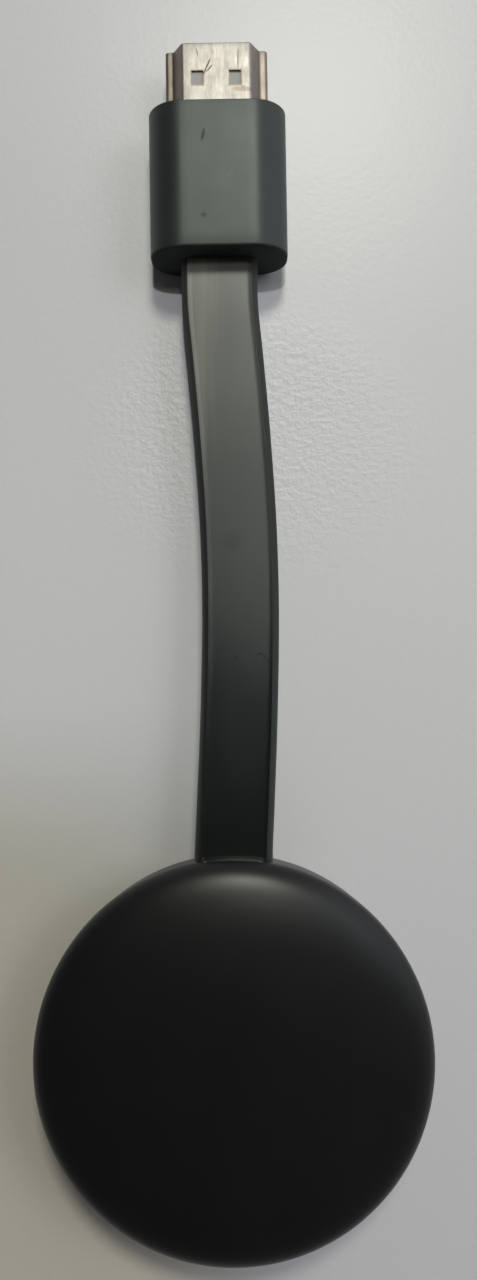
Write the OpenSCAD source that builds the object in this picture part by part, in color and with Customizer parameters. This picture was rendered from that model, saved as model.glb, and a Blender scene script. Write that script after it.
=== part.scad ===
// Streaming media stick: a round puck with a short flat cable that ends in a video plug.
// The puck lies flat with the centre of its base at the origin, and the cable leaves along +Y.

/* [Puck covers] */
// Diameter of the puck at the lower edge of the top cover
puck_d = 51.8; // [50:0.1:56]
// Height of the puck
puck_h = 13.8; // [13.4:0.1:16]
// Height of the seam between the two covers, as a share of the puck's height
seam_share = 0.5942; // [0.57:0.0001:0.61]
// Power of the dome's curve: more makes its top flatter and its edge tighter
dome_power = 2.8; // [2.4:0.05:3.2]
// Height of the straight edge of the top cover over the seam
edge_h = 0.6; // [0.3:0.05:0.9]
// Step from the edge of the top cover back to the bottom cover
seam_step = 0.3; // [0.1:0.05:0.5]
// Amount by which the side wall draws in towards the base
wall_draft = 0.3; // [0.1:0.05:0.5]
// Radius between the side wall and the base
foot_round = 2.3; // [1.6:0.1:2.8]
// Wall of both covers
cover_wall = 1.5; // [1.2:0.1:1.8]
// Floor of the bottom cover, as a share of the puck's height
base_share = 0.116; // [0.1:0.001:0.14]
// Height of the locating lip over the seam
lip_h = 1; // [0.6:0.1:1.2]
// Thickness of the locating lip
lip_t = 0.8; // [0.6:0.1:1]

/* [Flat cable] */
// Reach of the flat cable from the strain relief to the plug
cable_reach = 83.15; // [70:0.05:110]
// Width of the flat cable
cable_w = 10.3; // [9:0.1:11]
// Thickness of the flat cable
cable_t = 2.8; // [2.4:0.1:3]
// Width of the strain relief inside the puck
relief_w = 13; // [12:0.1:14]
// Thickness of the strain relief
relief_t = 4; // [3.6:0.1:4.2]
// Length of the strain relief
relief_l = 3.6; // [3:0.1:3.8]

/* [Video plug] */
// Width of the moulded plug housing
housing_w = 18.5; // [17.5:0.1:21]
// Thickness of the moulded plug housing
housing_t = 10.6; // [9.8:0.1:12]
// Length of the moulded plug housing
housing_l = 19.6; // [19:0.1:24]
// Corner radius of the housing's section
housing_corner = 4.6; // [3:0.1:4.7]
// Rounding of the housing's end edges
housing_edge = 0.9; // [0.4:0.1:1.2]
// Width of the plug's metal shell
shell_w = 13.9; // [13.7:0.1:14.1]
// Height of the plug's metal shell
shell_t = 4.45; // [4.3:0.05:4.6]
// Width of the shell's narrow face
shell_narrow_w = 9.24; // [8.8:0.02:9.6]
// Height of the shell's sloped sides
shell_slope_h = 2.13; // [1.9:0.01:2.3]
// Width of the shell's sloped sides
shell_slope_w = 1.23; // [1:0.01:1.4]
// Sheet thickness of the plug's shell
shell_wall = 0.3; // [0.25:0.01:0.35]
// Outer radius of the bends of the plug's shell
shell_bend = 0.45; // [0.35:0.05:0.55]
// Length of the shell in front of the housing
shell_out = 9.4; // [9:0.1:11]
// Length of the shell held in the housing
shell_held = 6; // [5.5:0.1:7]
// Width of a latch window
window_w = 1.6; // [1.4:0.05:1.8]
// Length of a latch window
window_l = 2; // [1.6:0.05:2.2]
// Distance between the two latch windows, centre to centre
window_pitch = 5.06; // [4.8:0.02:5.2]
// Distance from the shell's tip to the centres of the windows
window_back = 4.8; // [4.4:0.1:5.4]
// Width of the slot between the two rows of contacts
slot_w = 10; // [9.7:0.1:10.2]
// Height of the slot
slot_h = 1.6; // [1.4:0.05:1.7]
// Depth of the slot
slot_l = 8; // [7:0.1:9]
// Distance from one contact to the next in a row
contact_pitch = 1; // [0.95:0.01:1]
// Width of a contact
contact_w = 0.3; // [0.2:0.02:0.4]
// Thickness of a contact
contact_t = 0.2; // [0.15:0.01:0.25]

/* [Main board] */
// Gap between the board and the wall of the bottom cover
board_gap = 1.5; // [1.3:0.1:2]
// Thickness of the board
board_t = 1; // [0.8:0.1:1.2]
// Height of the bosses that carry the board, as a share of the puck's height
boss_share = 0.116; // [0.11:0.001:0.14]
// Radius of the bosses
boss_r = 1.9; // [1.7:0.1:2.2]
// Distance of the board screws from the board's edge
screw_inset = 3.1; // [2.7:0.1:3.4]
// Radius of the screw shanks
shank_r = 0.7; // [0.6:0.05:0.8]
// Radius of the screw heads
head_r = 1.3; // [1.2:0.05:1.4]
// Height of the screw heads
head_h = 0.7; // [0.5:0.05:0.9]

/* [Shields and heat path] */
// Width of the main shield, as a share of the board's radius
can_w_share = 1.076; // [1:0.002:1.12]
// Depth of the main shield, as a share of the board's radius
can_l_share = 0.852; // [0.78:0.002:0.87]
// Height of the main shield, as a share of the puck's height
can_h_share = 0.145; // [0.13:0.001:0.16]
// Sheet thickness of the shields
can_wall = 0.25; // [0.2:0.01:0.3]
// Side of the upper thermal pad
pad_side = 14; // [12:0.5:16]
// Thickness of the upper thermal pad, as a share of the puck's height
pad_t_share = 0.0725; // [0.06:0.0005:0.08]
// Thickness of the lower thermal pad
low_pad_t = 0.4; // [0.3:0.05:0.5]
// Gap between the heat spreader and the block over the strain relief
spreader_gap = 0.4; // [0.3:0.05:0.8]
// Thickness of the heat spreader
spreader_t = 1; // [0.8:0.1:1.2]
// Rise of the heat spreader's rim, as a share of the puck's height
spreader_rise_share = 0.1015; // [0.09:0.0005:0.11]

/* [Power socket] */
// Width of the socket's shell
socket_w = 7.5; // [7.3:0.05:7.7]
// Height of the socket's shell
socket_h = 2.45; // [2.35:0.05:2.6]
// Depth of the socket's shell
socket_l = 5; // [4.6:0.1:5.4]
// Sheet thickness of the socket's shell
socket_wall = 0.3; // [0.25:0.01:0.35]
// Outer radius of the bends of the socket's shell
socket_bend = 0.4; // [0.35:0.05:0.5]
// Width of the cut corners of the socket
socket_cut_w = 1.1; // [0.9:0.05:1.3]
// Height of the cut corners of the socket
socket_cut_h = 0.9; // [0.7:0.05:1]
// Distance of the socket's mouth behind the wall's outer face
socket_back = 0.6; // [0.4:0.05:0.8]
// Gap round the socket in the wall
socket_gap = 0.35; // [0.25:0.05:0.45]

/* [Reset button and status light] */
// Sideways distance of the reset button's switch from the power socket's middle
button_side = 7.63; // [7.2:0.01:9]
// Radius of the button's cap
button_r = 1.4; // [1.2:0.05:1.5]
// Rounding of the rim of the button's cap
button_rim = 0.25; // [0.1:0.05:0.4]
// Radius of the button's flange
flange_r = 1.9; // [1.8:0.05:2]
// Thickness of the button's flange
flange_t = 0.55; // [0.5:0.05:0.6]
// Travel of the button
button_travel = 0.3; // [0.2:0.05:0.35]
// Width of the switch
switch_w = 4.6; // [4.2:0.1:5]
// Depth of the switch
switch_l = 2.6; // [2.4:0.1:3]
// Height of the switch
switch_h = 1.7; // [1.5:0.1:1.8]
// Sideways distance of the status light from the power socket's middle
light_side = 6.52; // [6:0.02:8]
// Radius of the light pipe
pipe_r = 0.75; // [0.6:0.05:0.9]

/* [Hidden] */
$fn = 64;

// Overrun of every cut past the face that it opens
over = 0.5;
// Clearance of pieces that are pressed or laid into one another
fit_gap = 0.05;
// Clearance of pieces that slide or drop in
slide_gap = 0.1;

// Colours
cover_colour = [0.1, 0.105, 0.11];
soft_colour = [0.24, 0.26, 0.25];
metal_colour = [0.72, 0.7, 0.66];
tin_colour = [0.78, 0.79, 0.8];
gold_colour = [0.85, 0.68, 0.3];
board_colour = [0.07, 0.3, 0.17];
chip_colour = [0.08, 0.08, 0.09];
plastic_colour = [0.13, 0.13, 0.14];

// Radii and heights of the covers
puck_r = puck_d / 2;
seam_z = puck_h * seam_share;
dome_z = seam_z + edge_h;
dome_h = puck_h - dome_z;
dome_steps = 24;
lower_r = puck_r - seam_step;
foot_r = lower_r - wall_draft;
room_r = foot_r - cover_wall;
base_wall = puck_h * base_share;
lip_rise = max(lip_h - edge_h, 0) / (dome_h - cover_wall);
lip_r = (puck_r - cover_wall) * (1 - lip_rise ^ dome_power) ^ (1 / dome_power) - slide_gap;

// Board, from the floor up
boss_h = puck_h * boss_share;
board_z = base_wall + boss_h;
board_top = board_z + board_t;
board_r = room_r - board_gap;
boss_hole_r = shank_r + fit_gap;
boss_hole_floor = base_wall * 0.6;
shank_clear = 0.24;
shank_l = board_top - boss_hole_floor - shank_clear;
screw_ring_r = board_r - screw_inset;
screw_angles = [40, 140, 220, 320];

// Heat path, from the board up
can_h = puck_h * can_h_share;
pad_t = puck_h * pad_t_share;
pad_z = board_top + can_h;
spreader_z = pad_z + pad_t;
rim_z = spreader_z + puck_h * spreader_rise_share;
relief_seat = 1.2;
relief_front = room_r - relief_seat;
relief_back = relief_front - relief_l;
spreader_r = relief_back - spreader_gap;
spreader_flat_r = spreader_r * 0.68;
spreader_rim_r = spreader_r * 0.84;
post_ring_r = (spreader_rim_r + spreader_r) / 2;
post_r = head_r;
post_angles = [90, 210, 330];
post_hole_h = shank_l - spreader_t + slide_gap;

// Cable where it passes through the wall, and its strain relief
cable_gap = 0.1;
cable_z = seam_z - cable_gap - cable_t / 2;
relief_z = cable_z - relief_t / 2;
cheek_t = 0.9;
cheek_h = relief_t * 0.6;
cradle_w = relief_w + 2 * (slide_gap + cheek_t);
notch_gap = 0.3;
press_w = relief_w * 0.7;

// Board socket of the cable, and its wires
header_w = 14;
header_l = 4;
header_h = 2.2;
wire_lead = 2.6;
header_front = relief_back - wire_lead;
wire_count = 9;
wire_r = 0.4;
wire_pitch = 1.2;
wire_z = board_top + header_h * 0.62;

// Route of the cable's centre line from the strain relief to the plug: sideways and along
// in shares of the reach, down in shares of the drop from the slot to the plug's middle
plug_z = housing_t / 2;
route_shares = [
    [0, 0, 0], [0, 0.053, 0], [0.0036, 0.137, 0.14], [0.0084, 0.27, 0.5], [0.0108, 0.426, 0.8],
    [0.0072, 0.57, 1], [-0.0024, 0.714, 1.07], [-0.0132, 0.835, 1.07], [-0.0222, 0.928, 1],
    [-0.0233, 1, 1]
];
cable_route = [
    for (share = route_shares)
        [share.x * cable_reach, relief_front + share.y * cable_reach, cable_z + share.z * (plug_z - cable_z)]
];
cable_steps = 2;
cable_edge_points = 5;

// Directions of the cable's ends, and the place of the plug at its far end
route_exit = cable_route[1] - cable_route[0];
route_end = cable_route[len(cable_route) - 1];
route_lead = route_end - cable_route[len(cable_route) - 2];
plug_x = route_end.x;
plug_y = route_end.y;
plug_yaw = atan2(-route_lead.x, route_lead.y);

// Inside of the plug, measured from the housing's rear face
shell_start = housing_l - shell_held;
shell_tip = housing_l + shell_out;
insulator_recess = 0.4;
insulator_front = shell_tip - insulator_recess;
slot_top = 0.35;
slot_bottom = slot_top - slot_h;
contact_setback = 0.6;
contact_tail = 1.6;
upper_count = 10;
lower_count = 9;
solder_board_l = 5;
solder_board_w = 11.4;
inner_shield_w = shell_w + 2 * (fit_gap + can_wall);
inner_shield_t = shell_t + 2 * (fit_gap + can_wall);
inner_shield_behind = 6.6;
inner_shield_over = 2;
inner_shield_start = shell_start - inner_shield_behind;
inner_shield_end = shell_start + inner_shield_over;
plug_wire_lead = 3;
plug_wire_start = inner_shield_start - plug_wire_lead;
plug_wire_z = (slot_top + slot_bottom) / 2;
wire_room_w = (wire_count - 1) * wire_pitch + 2 * (wire_r + slide_gap);
wire_room_t = 2 * (wire_r + slide_gap);
edge_steps = 4;
corner_steps = 6;
bend_steps = 4;

// Corners of the plug's shell before its sheet is bent, narrow face up
shell_half_t = shell_t / 2;
shell_slope_x = shell_narrow_w / 2 + shell_slope_w;
shell_slope_z = shell_half_t - shell_slope_h;
shell_corners = [
    [shell_w / 2, -shell_half_t], [shell_w / 2, shell_slope_z], [shell_slope_x, shell_slope_z],
    [shell_narrow_w / 2, shell_half_t], [-shell_narrow_w / 2, shell_half_t],
    [-shell_slope_x, shell_slope_z], [-shell_w / 2, shell_slope_z], [-shell_w / 2, -shell_half_t]
];

// Power socket, its mouth facing -Y
socket_front = foot_r - socket_back;
socket_z = board_top + socket_h / 2;
socket_floor_l = 1.6;
tongue_w = 3.7;
tongue_t = 0.6;
tongue_l = 2.9;
tongue_drop = 0.2;
socket_half_h = socket_h / 2;
socket_corners = [
    [socket_w / 2 - socket_cut_w, -socket_half_h], [socket_w / 2, socket_cut_h - socket_half_h],
    [socket_w / 2, socket_half_h], [-socket_w / 2, socket_half_h],
    [-socket_w / 2, socket_cut_h - socket_half_h], [socket_cut_w - socket_w / 2, -socket_half_h]
];
pin_count = 5;
pin_pitch = 0.65;
pin_w = 0.3;
pin_t = 0.1;
socket_corner = 0.8;
pin_z = socket_z + tongue_drop - tongue_t / 2 - pin_t / 2;

// Reset button, its switch and the status light
button_z = board_top + switch_h / 2;
button_recess = 0.1;
button_face = foot_r - button_recess;
button_seat = 0.25;
flange_face = room_r - button_seat;
stem_r = 0.8;
plunger_tip = board_r;
button_angle = asin(button_side / plunger_tip);
stem_tip = plunger_tip + fit_gap;
plunger_out = 0.7;
switch_face = plunger_tip - plunger_out;
plunger_w = 2;
plunger_t = 0.8;
plunger_in = 0.9;
led_w = 1.8;
led_l = 0.9;
led_h = 1;
led_face = board_r - slide_gap;
light_angle = -asin(light_side / board_r);
pipe_ledge = 0.4;
pipe_flange_r = pipe_r + pipe_ledge;
pipe_flange_t = 0.5;
pipe_rim = 0.15;

// Chips, shields and antennas: place, width and depth in shares of the board's radius
chip_t = 1.1;
dimple_r = 0.35;
dimple_in = 0.8;
dimple_t = 0.12;
processor_shares = [-0.22, 0.02, 0.493, 0.493];
memory_shares = [0.3, 0.02, 0.336, 0.56];
flash_shares = [0.36, -0.555, 0.3, 0.22];
wireless_shares = [-0.39, -0.605, 0.269, 0.269];
radio_h = 1.6;
radio_shares = [-0.39, -0.605, 0.386, 0.305];
can_shares = [0, 0.01, can_w_share, can_l_share];
low_can_shares = [0, 0, 0.987, 0.807];
antenna_shares = [0.83, 0.02, 0.117, 0.583];
antenna_h = 3.2;
antenna_t = 0.3;

// Small parts of the board: places in shares of the board's radius
inductor_side = 2.6;
inductor_h = 1.5;
inductor_shares = [[-0.12, -0.74], [0.12, -0.74], [0.66, -0.36]];
crystal_w = 3.2;
crystal_l = 2.5;
crystal_h = 0.8;
crystal_shares = [-0.67, -0.35];
passive_w = 1;
passive_l = 0.6;
passive_h = 0.55;
passive_shares = [
    [-0.64, 0.2], [-0.64, 0.27], [-0.64, 0.34], [0.64, 0.2], [0.64, 0.27], [0.64, 0.34],
    [-0.51, 0.52], [-0.45, 0.52], [0.45, 0.52], [0.51, 0.52],
    [-0.05, -0.5], [0.03, -0.5], [0.11, -0.5], [-0.05, -0.57], [0.03, -0.57],
    [0.66, -0.12], [0.66, -0.19], [-0.66, -0.12], [-0.66, -0.19], [0, -0.66]
];

// Points of an arc from one angle to another, in degrees
function arc(cx, cy, r, a0, a1, n) =
    [for (i = [0 : n]) let (a = a0 + (a1 - a0) * i / n) [cx + r * cos(a), cy + r * sin(a)]];

// Rounded rectangle about the origin
function round_rect(w, t, r, n) = concat(
    arc(w / 2 - r, t / 2 - r, r, 0, 90, n),
    arc(r - w / 2, t / 2 - r, r, 90, 180, n),
    arc(r - w / 2, r - t / 2, r, 180, 270, n),
    arc(w / 2 - r, r - t / 2, r, 270, 360, n)
);

// Unit vector along v
function unit(v) = v / norm(v);

// Corner of a counter-clockwise outline, moved inwards by d along both of its sides
function inset_corner(p, q, s, d) =
    let (a = unit(q - p), b = unit(s - q), na = [-a.y, a.x], nb = [-b.y, b.x])
    q + d * (na + nb) / (1 + na * nb);

// Outline whose sides all lie d further in
function inset_outline(pts, d) =
    let (n = len(pts))
    [for (i = [0 : n - 1]) inset_corner(pts[(i + n - 1) % n], pts[i], pts[(i + 1) % n], d)];

// Outline of bent sheet: its corners lie d further in, each rounded to the bend's radius there
function bent_outline(corners, bend, d) =
    let (pts = inset_outline(corners, d), n = len(pts))
    [for (i = [0 : n - 1])
        let (p = pts[(i + n - 1) % n], q = pts[i], s = pts[(i + 1) % n], side = sign(cross(q - p, s - q)),
             r = max(bend - side * d, fit_gap), a = unit(p - q), b = unit(s - q), half = acos(a * b) / 2,
             middle = q + unit(a + b) * r / sin(half), first = q + a * r / tan(half) - middle)
        for (step = [0 : bend_steps])
            let (turn = side * (180 - 2 * half) * step / bend_steps)
            middle + [first.x * cos(turn) - first.y * sin(turn), first.x * sin(turn) + first.y * cos(turn)]];

// Outline of the plug's shell, drawn in by d
function shell_outline(d) = bent_outline(shell_corners, shell_bend, d);

// Outline of the power socket's shell, drawn in by d
function socket_outline(d) = bent_outline(socket_corners, socket_bend, d);

// Half section of the top cover, drawn in by inset and closed at the height bottom
function dome_section(inset, bottom) = concat(
    [[0, bottom], [puck_r - inset, bottom]],
    [for (step = [0 : dome_steps])
        let (a = 90 * step / dome_steps, out = cos(a) ^ (2 / dome_power), up = sin(a) ^ (2 / dome_power))
        [(puck_r - inset) * out, dome_z + (dome_h - inset) * up]]
);

// Half section of the bottom cover
function base_section() = concat(
    [[0, 0]],
    arc(foot_r - foot_round, foot_round, foot_round, -90, 0, 8),
    [[lower_r, seam_z], [0, seam_z]]
);

// Point on a smooth curve through p1 and p2
function curve_at(p0, p1, p2, p3, t) =
    (2 * p1 + (p2 - p0) * t + (2 * p0 - 5 * p1 + 4 * p2 - p3) * t ^ 2
    + (3 * p1 - p0 - 3 * p2 + p3) * t ^ 3) / 2;

// Smooth curve through all points, its ends straight
function smooth_path(pts, steps) =
    let (n = len(pts), first = 2 * pts[0] - pts[1], last = 2 * pts[n - 1] - pts[n - 2],
         all = concat([first], pts, [last]))
    concat(
        [for (i = [0 : n - 2]) for (s = [0 : steps - 1])
            curve_at(all[i], all[i + 1], all[i + 2], all[i + 3], s / steps)],
        [pts[n - 1]]
    );

// Flat section of the cable with half-round edges
function cable_section() = concat(
    arc(cable_w / 2 - cable_t / 2, 0, cable_t / 2, -90, 90, cable_edge_points),
    arc(cable_t / 2 - cable_w / 2, 0, cable_t / 2, 90, 270, cable_edge_points)
);

// Outline of the housing at a distance y from its rear face, drawn in by inset
function housing_ring(y, inset) =
    [for (p = round_rect(housing_w - 2 * inset, housing_t - 2 * inset, housing_corner - inset, corner_steps))
        [p.x, y, p.y]];

// Outlines of the housing from rear to front, rounding both end edges over
function housing_rings() =
    let (angles = [for (step = [0 : edge_steps]) 90 * step / edge_steps], e = housing_edge)
    concat(
        [for (a = angles) each housing_ring(e * (1 - cos(a)), e * (1 - sin(a)))],
        [for (a = angles) each housing_ring(housing_l - e * (1 - sin(a)), e * (1 - cos(a)))]
    );

// Block on the board, about a place given in shares of the board's radius
module on_board(shares, w, l, h) {
    translate([board_r * shares[0] - w / 2, board_r * shares[1] - l / 2, board_top]) cube([w, l, h]);
}

// Chip on the board with a dimple at its first pin; place, width and depth in shares of the board's radius
module chip(shares) {
    left = board_r * (shares[0] - shares[2] / 2);
    back = board_r * (shares[1] + shares[3] / 2);
    difference() {
        on_board(shares, board_r * shares[2], board_r * shares[3], chip_t);
        translate([left + dimple_in, back - dimple_in, board_top + chip_t - dimple_t])
            cylinder(r = dimple_r, h = dimple_t + over);
    }
}

// Sheet-metal lid with its open side down, its place, width and depth in shares of the board's radius
module shield_lid(shares, h) {
    w = board_r * shares[2];
    l = board_r * shares[3];
    translate([board_r * shares[0] - w / 2, board_r * shares[1] - l / 2, 0])
        difference() {
            cube([w, l, h]);
            translate([can_wall, can_wall, -over])
                cube([w - 2 * can_wall, l - 2 * can_wall, h - can_wall + over]);
        }
}

// Round rod along Y from one distance in front of the centre to another
module radial_rod(r, outer, inner) {
    translate([0, -inner, 0]) rotate([90, 0, 0]) cylinder(r = r, h = outer - inner);
}

// Round rod like radial_rod, the rim of its outer end rounded
module radial_cap(r, outer, inner, rim) {
    edge = arc(r - rim, outer - rim, rim, 0, 90, bend_steps);
    rotate([90, 0, 0])
        rotate_extrude() polygon(concat([[0, inner], [r, inner]], edge, [[0, outer]]));
}

// Frame of the reset button: -Y points out of the wall
module at_button() {
    rotate([0, 0, button_angle]) translate([0, 0, button_z]) children();
}

// Frame of the status light
module at_light() {
    rotate([0, 0, light_angle]) translate([0, 0, button_z]) children();
}

// Frame of the plug: its rear face at the cable's end, its nose along +Y
module in_plug() {
    translate([plug_x, plug_y, plug_z]) rotate([0, 0, plug_yaw]) children();
}

// Outline in the XZ plane, carried along +Y from one place to another
module along_y(pts, y0, y1) {
    translate([0, y0, 0]) mirror([0, 1, 0]) rotate([90, 0, 0]) linear_extrude(y1 - y0) polygon(pts);
}

// Box about the Y axis, from one place to another
module box_y(w, t, y0, y1) {
    translate([-w / 2, y0, -t / 2]) cube([w, y1 - y0, t]);
}

// Screws with their heads' undersides at z0, the shanks going down
module screws_down(angles, ring_r, z0) {
    for (a = angles)
        rotate([0, 0, a])
            translate([ring_r, 0, z0 - shank_l]) {
                cylinder(r = shank_r, h = shank_l);
                translate([0, 0, shank_l])
                    difference() {
                        cylinder(r = head_r, h = head_h);
                        translate([0, 0, head_h / 2]) cylinder(r = shank_r * 0.8, h = head_h, $fn = 6);
                    }
            }
}

module top_cover() {
    color(cover_colour)
        difference() {
            union() {
                difference() {
                    rotate_extrude() polygon(dome_section(0, seam_z));
                    rotate_extrude() polygon(dome_section(cover_wall, seam_z - over));
                }
                // Posts for the heat spreader and the block over the strain relief
                intersection() {
                    rotate_extrude() polygon(dome_section(cover_wall / 2, seam_z));
                    union() {
                        for (a = post_angles)
                            rotate([0, 0, a])
                                translate([post_ring_r, 0, rim_z + spreader_t])
                                    cylinder(r = post_r, h = puck_h);
                        translate([-press_w / 2, relief_back, relief_z + relief_t + slide_gap])
                            cube([press_w, relief_l * 0.8, puck_h]);
                    }
                }
            }
            for (a = post_angles)
                rotate([0, 0, a])
                    translate([post_ring_r, 0, rim_z + spreader_t - over])
                        cylinder(r = boss_hole_r, h = post_hole_h + over);
        }
}

module bottom_cover() {
    opening_w = socket_w + 2 * socket_gap;
    opening_h = socket_h + 2 * socket_gap;
    socket_opening = round_rect(opening_w, opening_h, socket_corner, corner_steps);
    color(cover_colour)
        difference() {
            union() {
                difference() {
                    rotate_extrude() polygon(base_section());
                    translate([0, 0, base_wall]) cylinder(r = room_r, h = puck_h);
                }
                // Lip that locates the top cover
                translate([0, 0, seam_z - lip_h])
                    difference() {
                        cylinder(r = lip_r, h = 2 * lip_h);
                        translate([0, 0, -over]) cylinder(r = lip_r - lip_t, h = 2 * (lip_h + over));
                    }
                // Bosses under the board
                for (a = screw_angles)
                    rotate([0, 0, a])
                        translate([screw_ring_r, 0, base_wall / 2])
                            cylinder(r = boss_r, h = board_z - base_wall / 2);
                // Cradle of the strain relief
                intersection() {
                    cylinder(r = room_r + cover_wall / 2, h = seam_z);
                    translate([-cradle_w / 2, relief_back, base_wall / 2])
                        cube([cradle_w, puck_r - relief_back, relief_z + cheek_h - base_wall / 2]);
                }
            }
            // Seat of the strain relief, open to the top
            translate([-relief_w / 2 - slide_gap, relief_back - over, relief_z])
                cube([relief_w + 2 * slide_gap, relief_l + over + slide_gap, puck_h]);
            // Way out for the cable, open to the top
            translate([-cable_w / 2 - cable_gap, relief_front, cable_z - cable_t / 2 - cable_gap])
                cube([cable_w + 2 * cable_gap, puck_r, puck_h]);
            // Screw holes
            for (a = screw_angles)
                rotate([0, 0, a])
                    translate([screw_ring_r, 0, boss_hole_floor]) cylinder(r = boss_hole_r, h = puck_h);
            // Openings for the power socket, the reset button and the status light
            translate([0, 0, socket_z])
                along_y(socket_opening, -puck_r - over, -room_r + cover_wall);
            at_button() radial_rod(button_r + slide_gap, puck_r + over, room_r - cover_wall);
            at_light() radial_rod(pipe_r + fit_gap, puck_r + over, room_r - cover_wall);
        }
}

module light_pipe() {
    color([0.9, 0.92, 0.94])
        at_light() {
            radial_cap(pipe_r, button_face, led_face + slide_gap, pipe_rim);
            radial_rod(pipe_flange_r, flange_face, flange_face - pipe_flange_t);
        }
}

module status_led() {
    color([0.95, 0.93, 0.85])
        rotate([0, 0, light_angle])
            translate([-led_w / 2, -led_face, board_top]) cube([led_w, led_l, led_h]);
}

module reset_button() {
    color(plastic_colour)
        at_button() {
            radial_cap(button_r, button_face, flange_face - flange_t, button_rim);
            radial_rod(flange_r, flange_face, flange_face - flange_t);
            radial_rod(stem_r, flange_face, stem_tip);
        }
}

module switch_plunger() {
    color([0.85, 0.85, 0.83])
        at_button() box_y(plunger_w, plunger_t, -plunger_tip, -switch_face + plunger_in);
}

module switch_body() {
    color([0.2, 0.2, 0.21])
        at_button()
            difference() {
                box_y(switch_w, switch_h, -switch_face, switch_l - switch_face);
                box_y(plunger_w + 2 * fit_gap, plunger_t + 2 * fit_gap,
                    -switch_face - over, -switch_face + plunger_in + 2 * button_travel);
            }
}

module power_socket_shell() {
    color(tin_colour)
        translate([0, 0, socket_z])
            difference() {
                along_y(socket_outline(0), -socket_front, socket_l - socket_front);
                along_y(socket_outline(socket_wall), -socket_front - over, socket_l + over - socket_front);
            }
}

module power_socket_core() {
    color(plastic_colour)
        translate([0, 0, socket_z]) {
            along_y(socket_outline(socket_wall), socket_l - socket_floor_l - socket_front,
                socket_l - socket_front);
            translate([0, 0, tongue_drop])
                box_y(tongue_w, tongue_t, socket_l - socket_floor_l - tongue_l - socket_front,
                    socket_l - socket_front);
        }
}

module power_socket_contacts() {
    color(gold_colour)
        for (i = [0 : pin_count - 1])
            translate([(i - (pin_count - 1) / 2) * pin_pitch, 0, pin_z])
                box_y(pin_w, pin_t, socket_l - socket_floor_l - tongue_l * 0.9 - socket_front,
                    socket_l - socket_floor_l - socket_front);
}

module main_board() {
    color(board_colour)
        difference() {
            translate([0, 0, board_z]) cylinder(r = board_r, h = board_t);
            // Notch round the cradle
            translate([-cradle_w / 2 - notch_gap, relief_back - notch_gap, board_z - over])
                cube([cradle_w + 2 * notch_gap, puck_r, board_t + 2 * over]);
            for (a = screw_angles)
                rotate([0, 0, a])
                    translate([screw_ring_r, 0, board_z - over])
                        cylinder(r = shank_r + slide_gap, h = board_t + 2 * over);
        }
}

module processor_chip() {
    color(chip_colour) chip(processor_shares);
}

module memory_chip() {
    color(chip_colour) chip(memory_shares);
}

module flash_chip() {
    color(chip_colour) chip(flash_shares);
}

module wireless_chip() {
    color(chip_colour) chip(wireless_shares);
}

module main_shield() {
    color(tin_colour) translate([0, 0, board_top]) shield_lid(can_shares, can_h);
}

module radio_shield() {
    color(tin_colour) translate([0, 0, board_top]) shield_lid(radio_shares, radio_h);
}

module lower_shield() {
    color(tin_colour)
        translate([0, 0, board_z]) mirror([0, 0, 1]) shield_lid(low_can_shares, boss_h - low_pad_t);
}

module upper_thermal_pad() {
    color([0.6, 0.65, 0.72])
        translate([-pad_side / 2, -pad_side / 2, pad_z]) cube([pad_side, pad_side, pad_t]);
}

module lower_thermal_pad() {
    color([0.6, 0.65, 0.72])
        translate([-pad_side / 2, -pad_side / 2, base_wall]) cube([pad_side, pad_side, low_pad_t]);
}

module heat_spreader() {
    color([0.8, 0.81, 0.82])
        difference() {
            rotate_extrude()
                polygon([
                    [0, spreader_z], [spreader_flat_r, spreader_z], [spreader_rim_r, rim_z],
                    [spreader_r, rim_z], [spreader_r, rim_z + spreader_t],
                    [spreader_rim_r, rim_z + spreader_t], [spreader_flat_r, spreader_z + spreader_t],
                    [0, spreader_z + spreader_t]
                ]);
            for (a = post_angles)
                rotate([0, 0, a])
                    translate([post_ring_r, 0, rim_z - over])
                        cylinder(r = shank_r + slide_gap, h = spreader_t + 2 * over);
        }
}

module antennas() {
    antenna_w = board_r * antenna_shares[2];
    antenna_l = board_r * antenna_shares[3];
    color(metal_colour)
        for (side = [-1, 1])
            translate([side * board_r * antenna_shares[0], board_r * antenna_shares[1], board_top]) {
                translate([-antenna_w / 2, -antenna_l / 2, 0]) cube([antenna_w, antenna_l, antenna_t]);
                translate([-antenna_t / 2, -antenna_l / 2, 0])
                    difference() {
                        cube([antenna_t, antenna_l, antenna_h]);
                        for (share = [0.2, 0.6])
                            translate([-over, antenna_l * share, antenna_h * 0.35])
                                cube([antenna_t + 2 * over, antenna_l * 0.2, antenna_h]);
                    }
            }
}

module power_inductors() {
    color([0.25, 0.25, 0.27])
        for (shares = inductor_shares) on_board(shares, inductor_side, inductor_side, inductor_h);
}

module board_components() {
    color([0.66, 0.56, 0.42])
        for (shares = passive_shares) on_board(shares, passive_w, passive_l, passive_h);
}

module clock_crystal() {
    color(tin_colour) on_board(crystal_shares, crystal_w, crystal_l, crystal_h);
}

module board_screws() {
    color(metal_colour) screws_down(screw_angles, screw_ring_r, board_top);
}

module spreader_screws() {
    color(metal_colour)
        translate([0, 0, 2 * rim_z])
            mirror([0, 0, 1]) screws_down(post_angles, post_ring_r, rim_z);
}

module cable_header() {
    color([0.88, 0.85, 0.76])
        translate([-header_w / 2, header_front - header_l, board_top]) cube([header_w, header_l, header_h]);
}

module board_wires() {
    color([0.55, 0.12, 0.1])
        for (i = [0 : wire_count - 1])
            translate([(i - (wire_count - 1) / 2) * wire_pitch, 0, wire_z])
                radial_rod(wire_r, -header_front, -relief_back);
}

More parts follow.
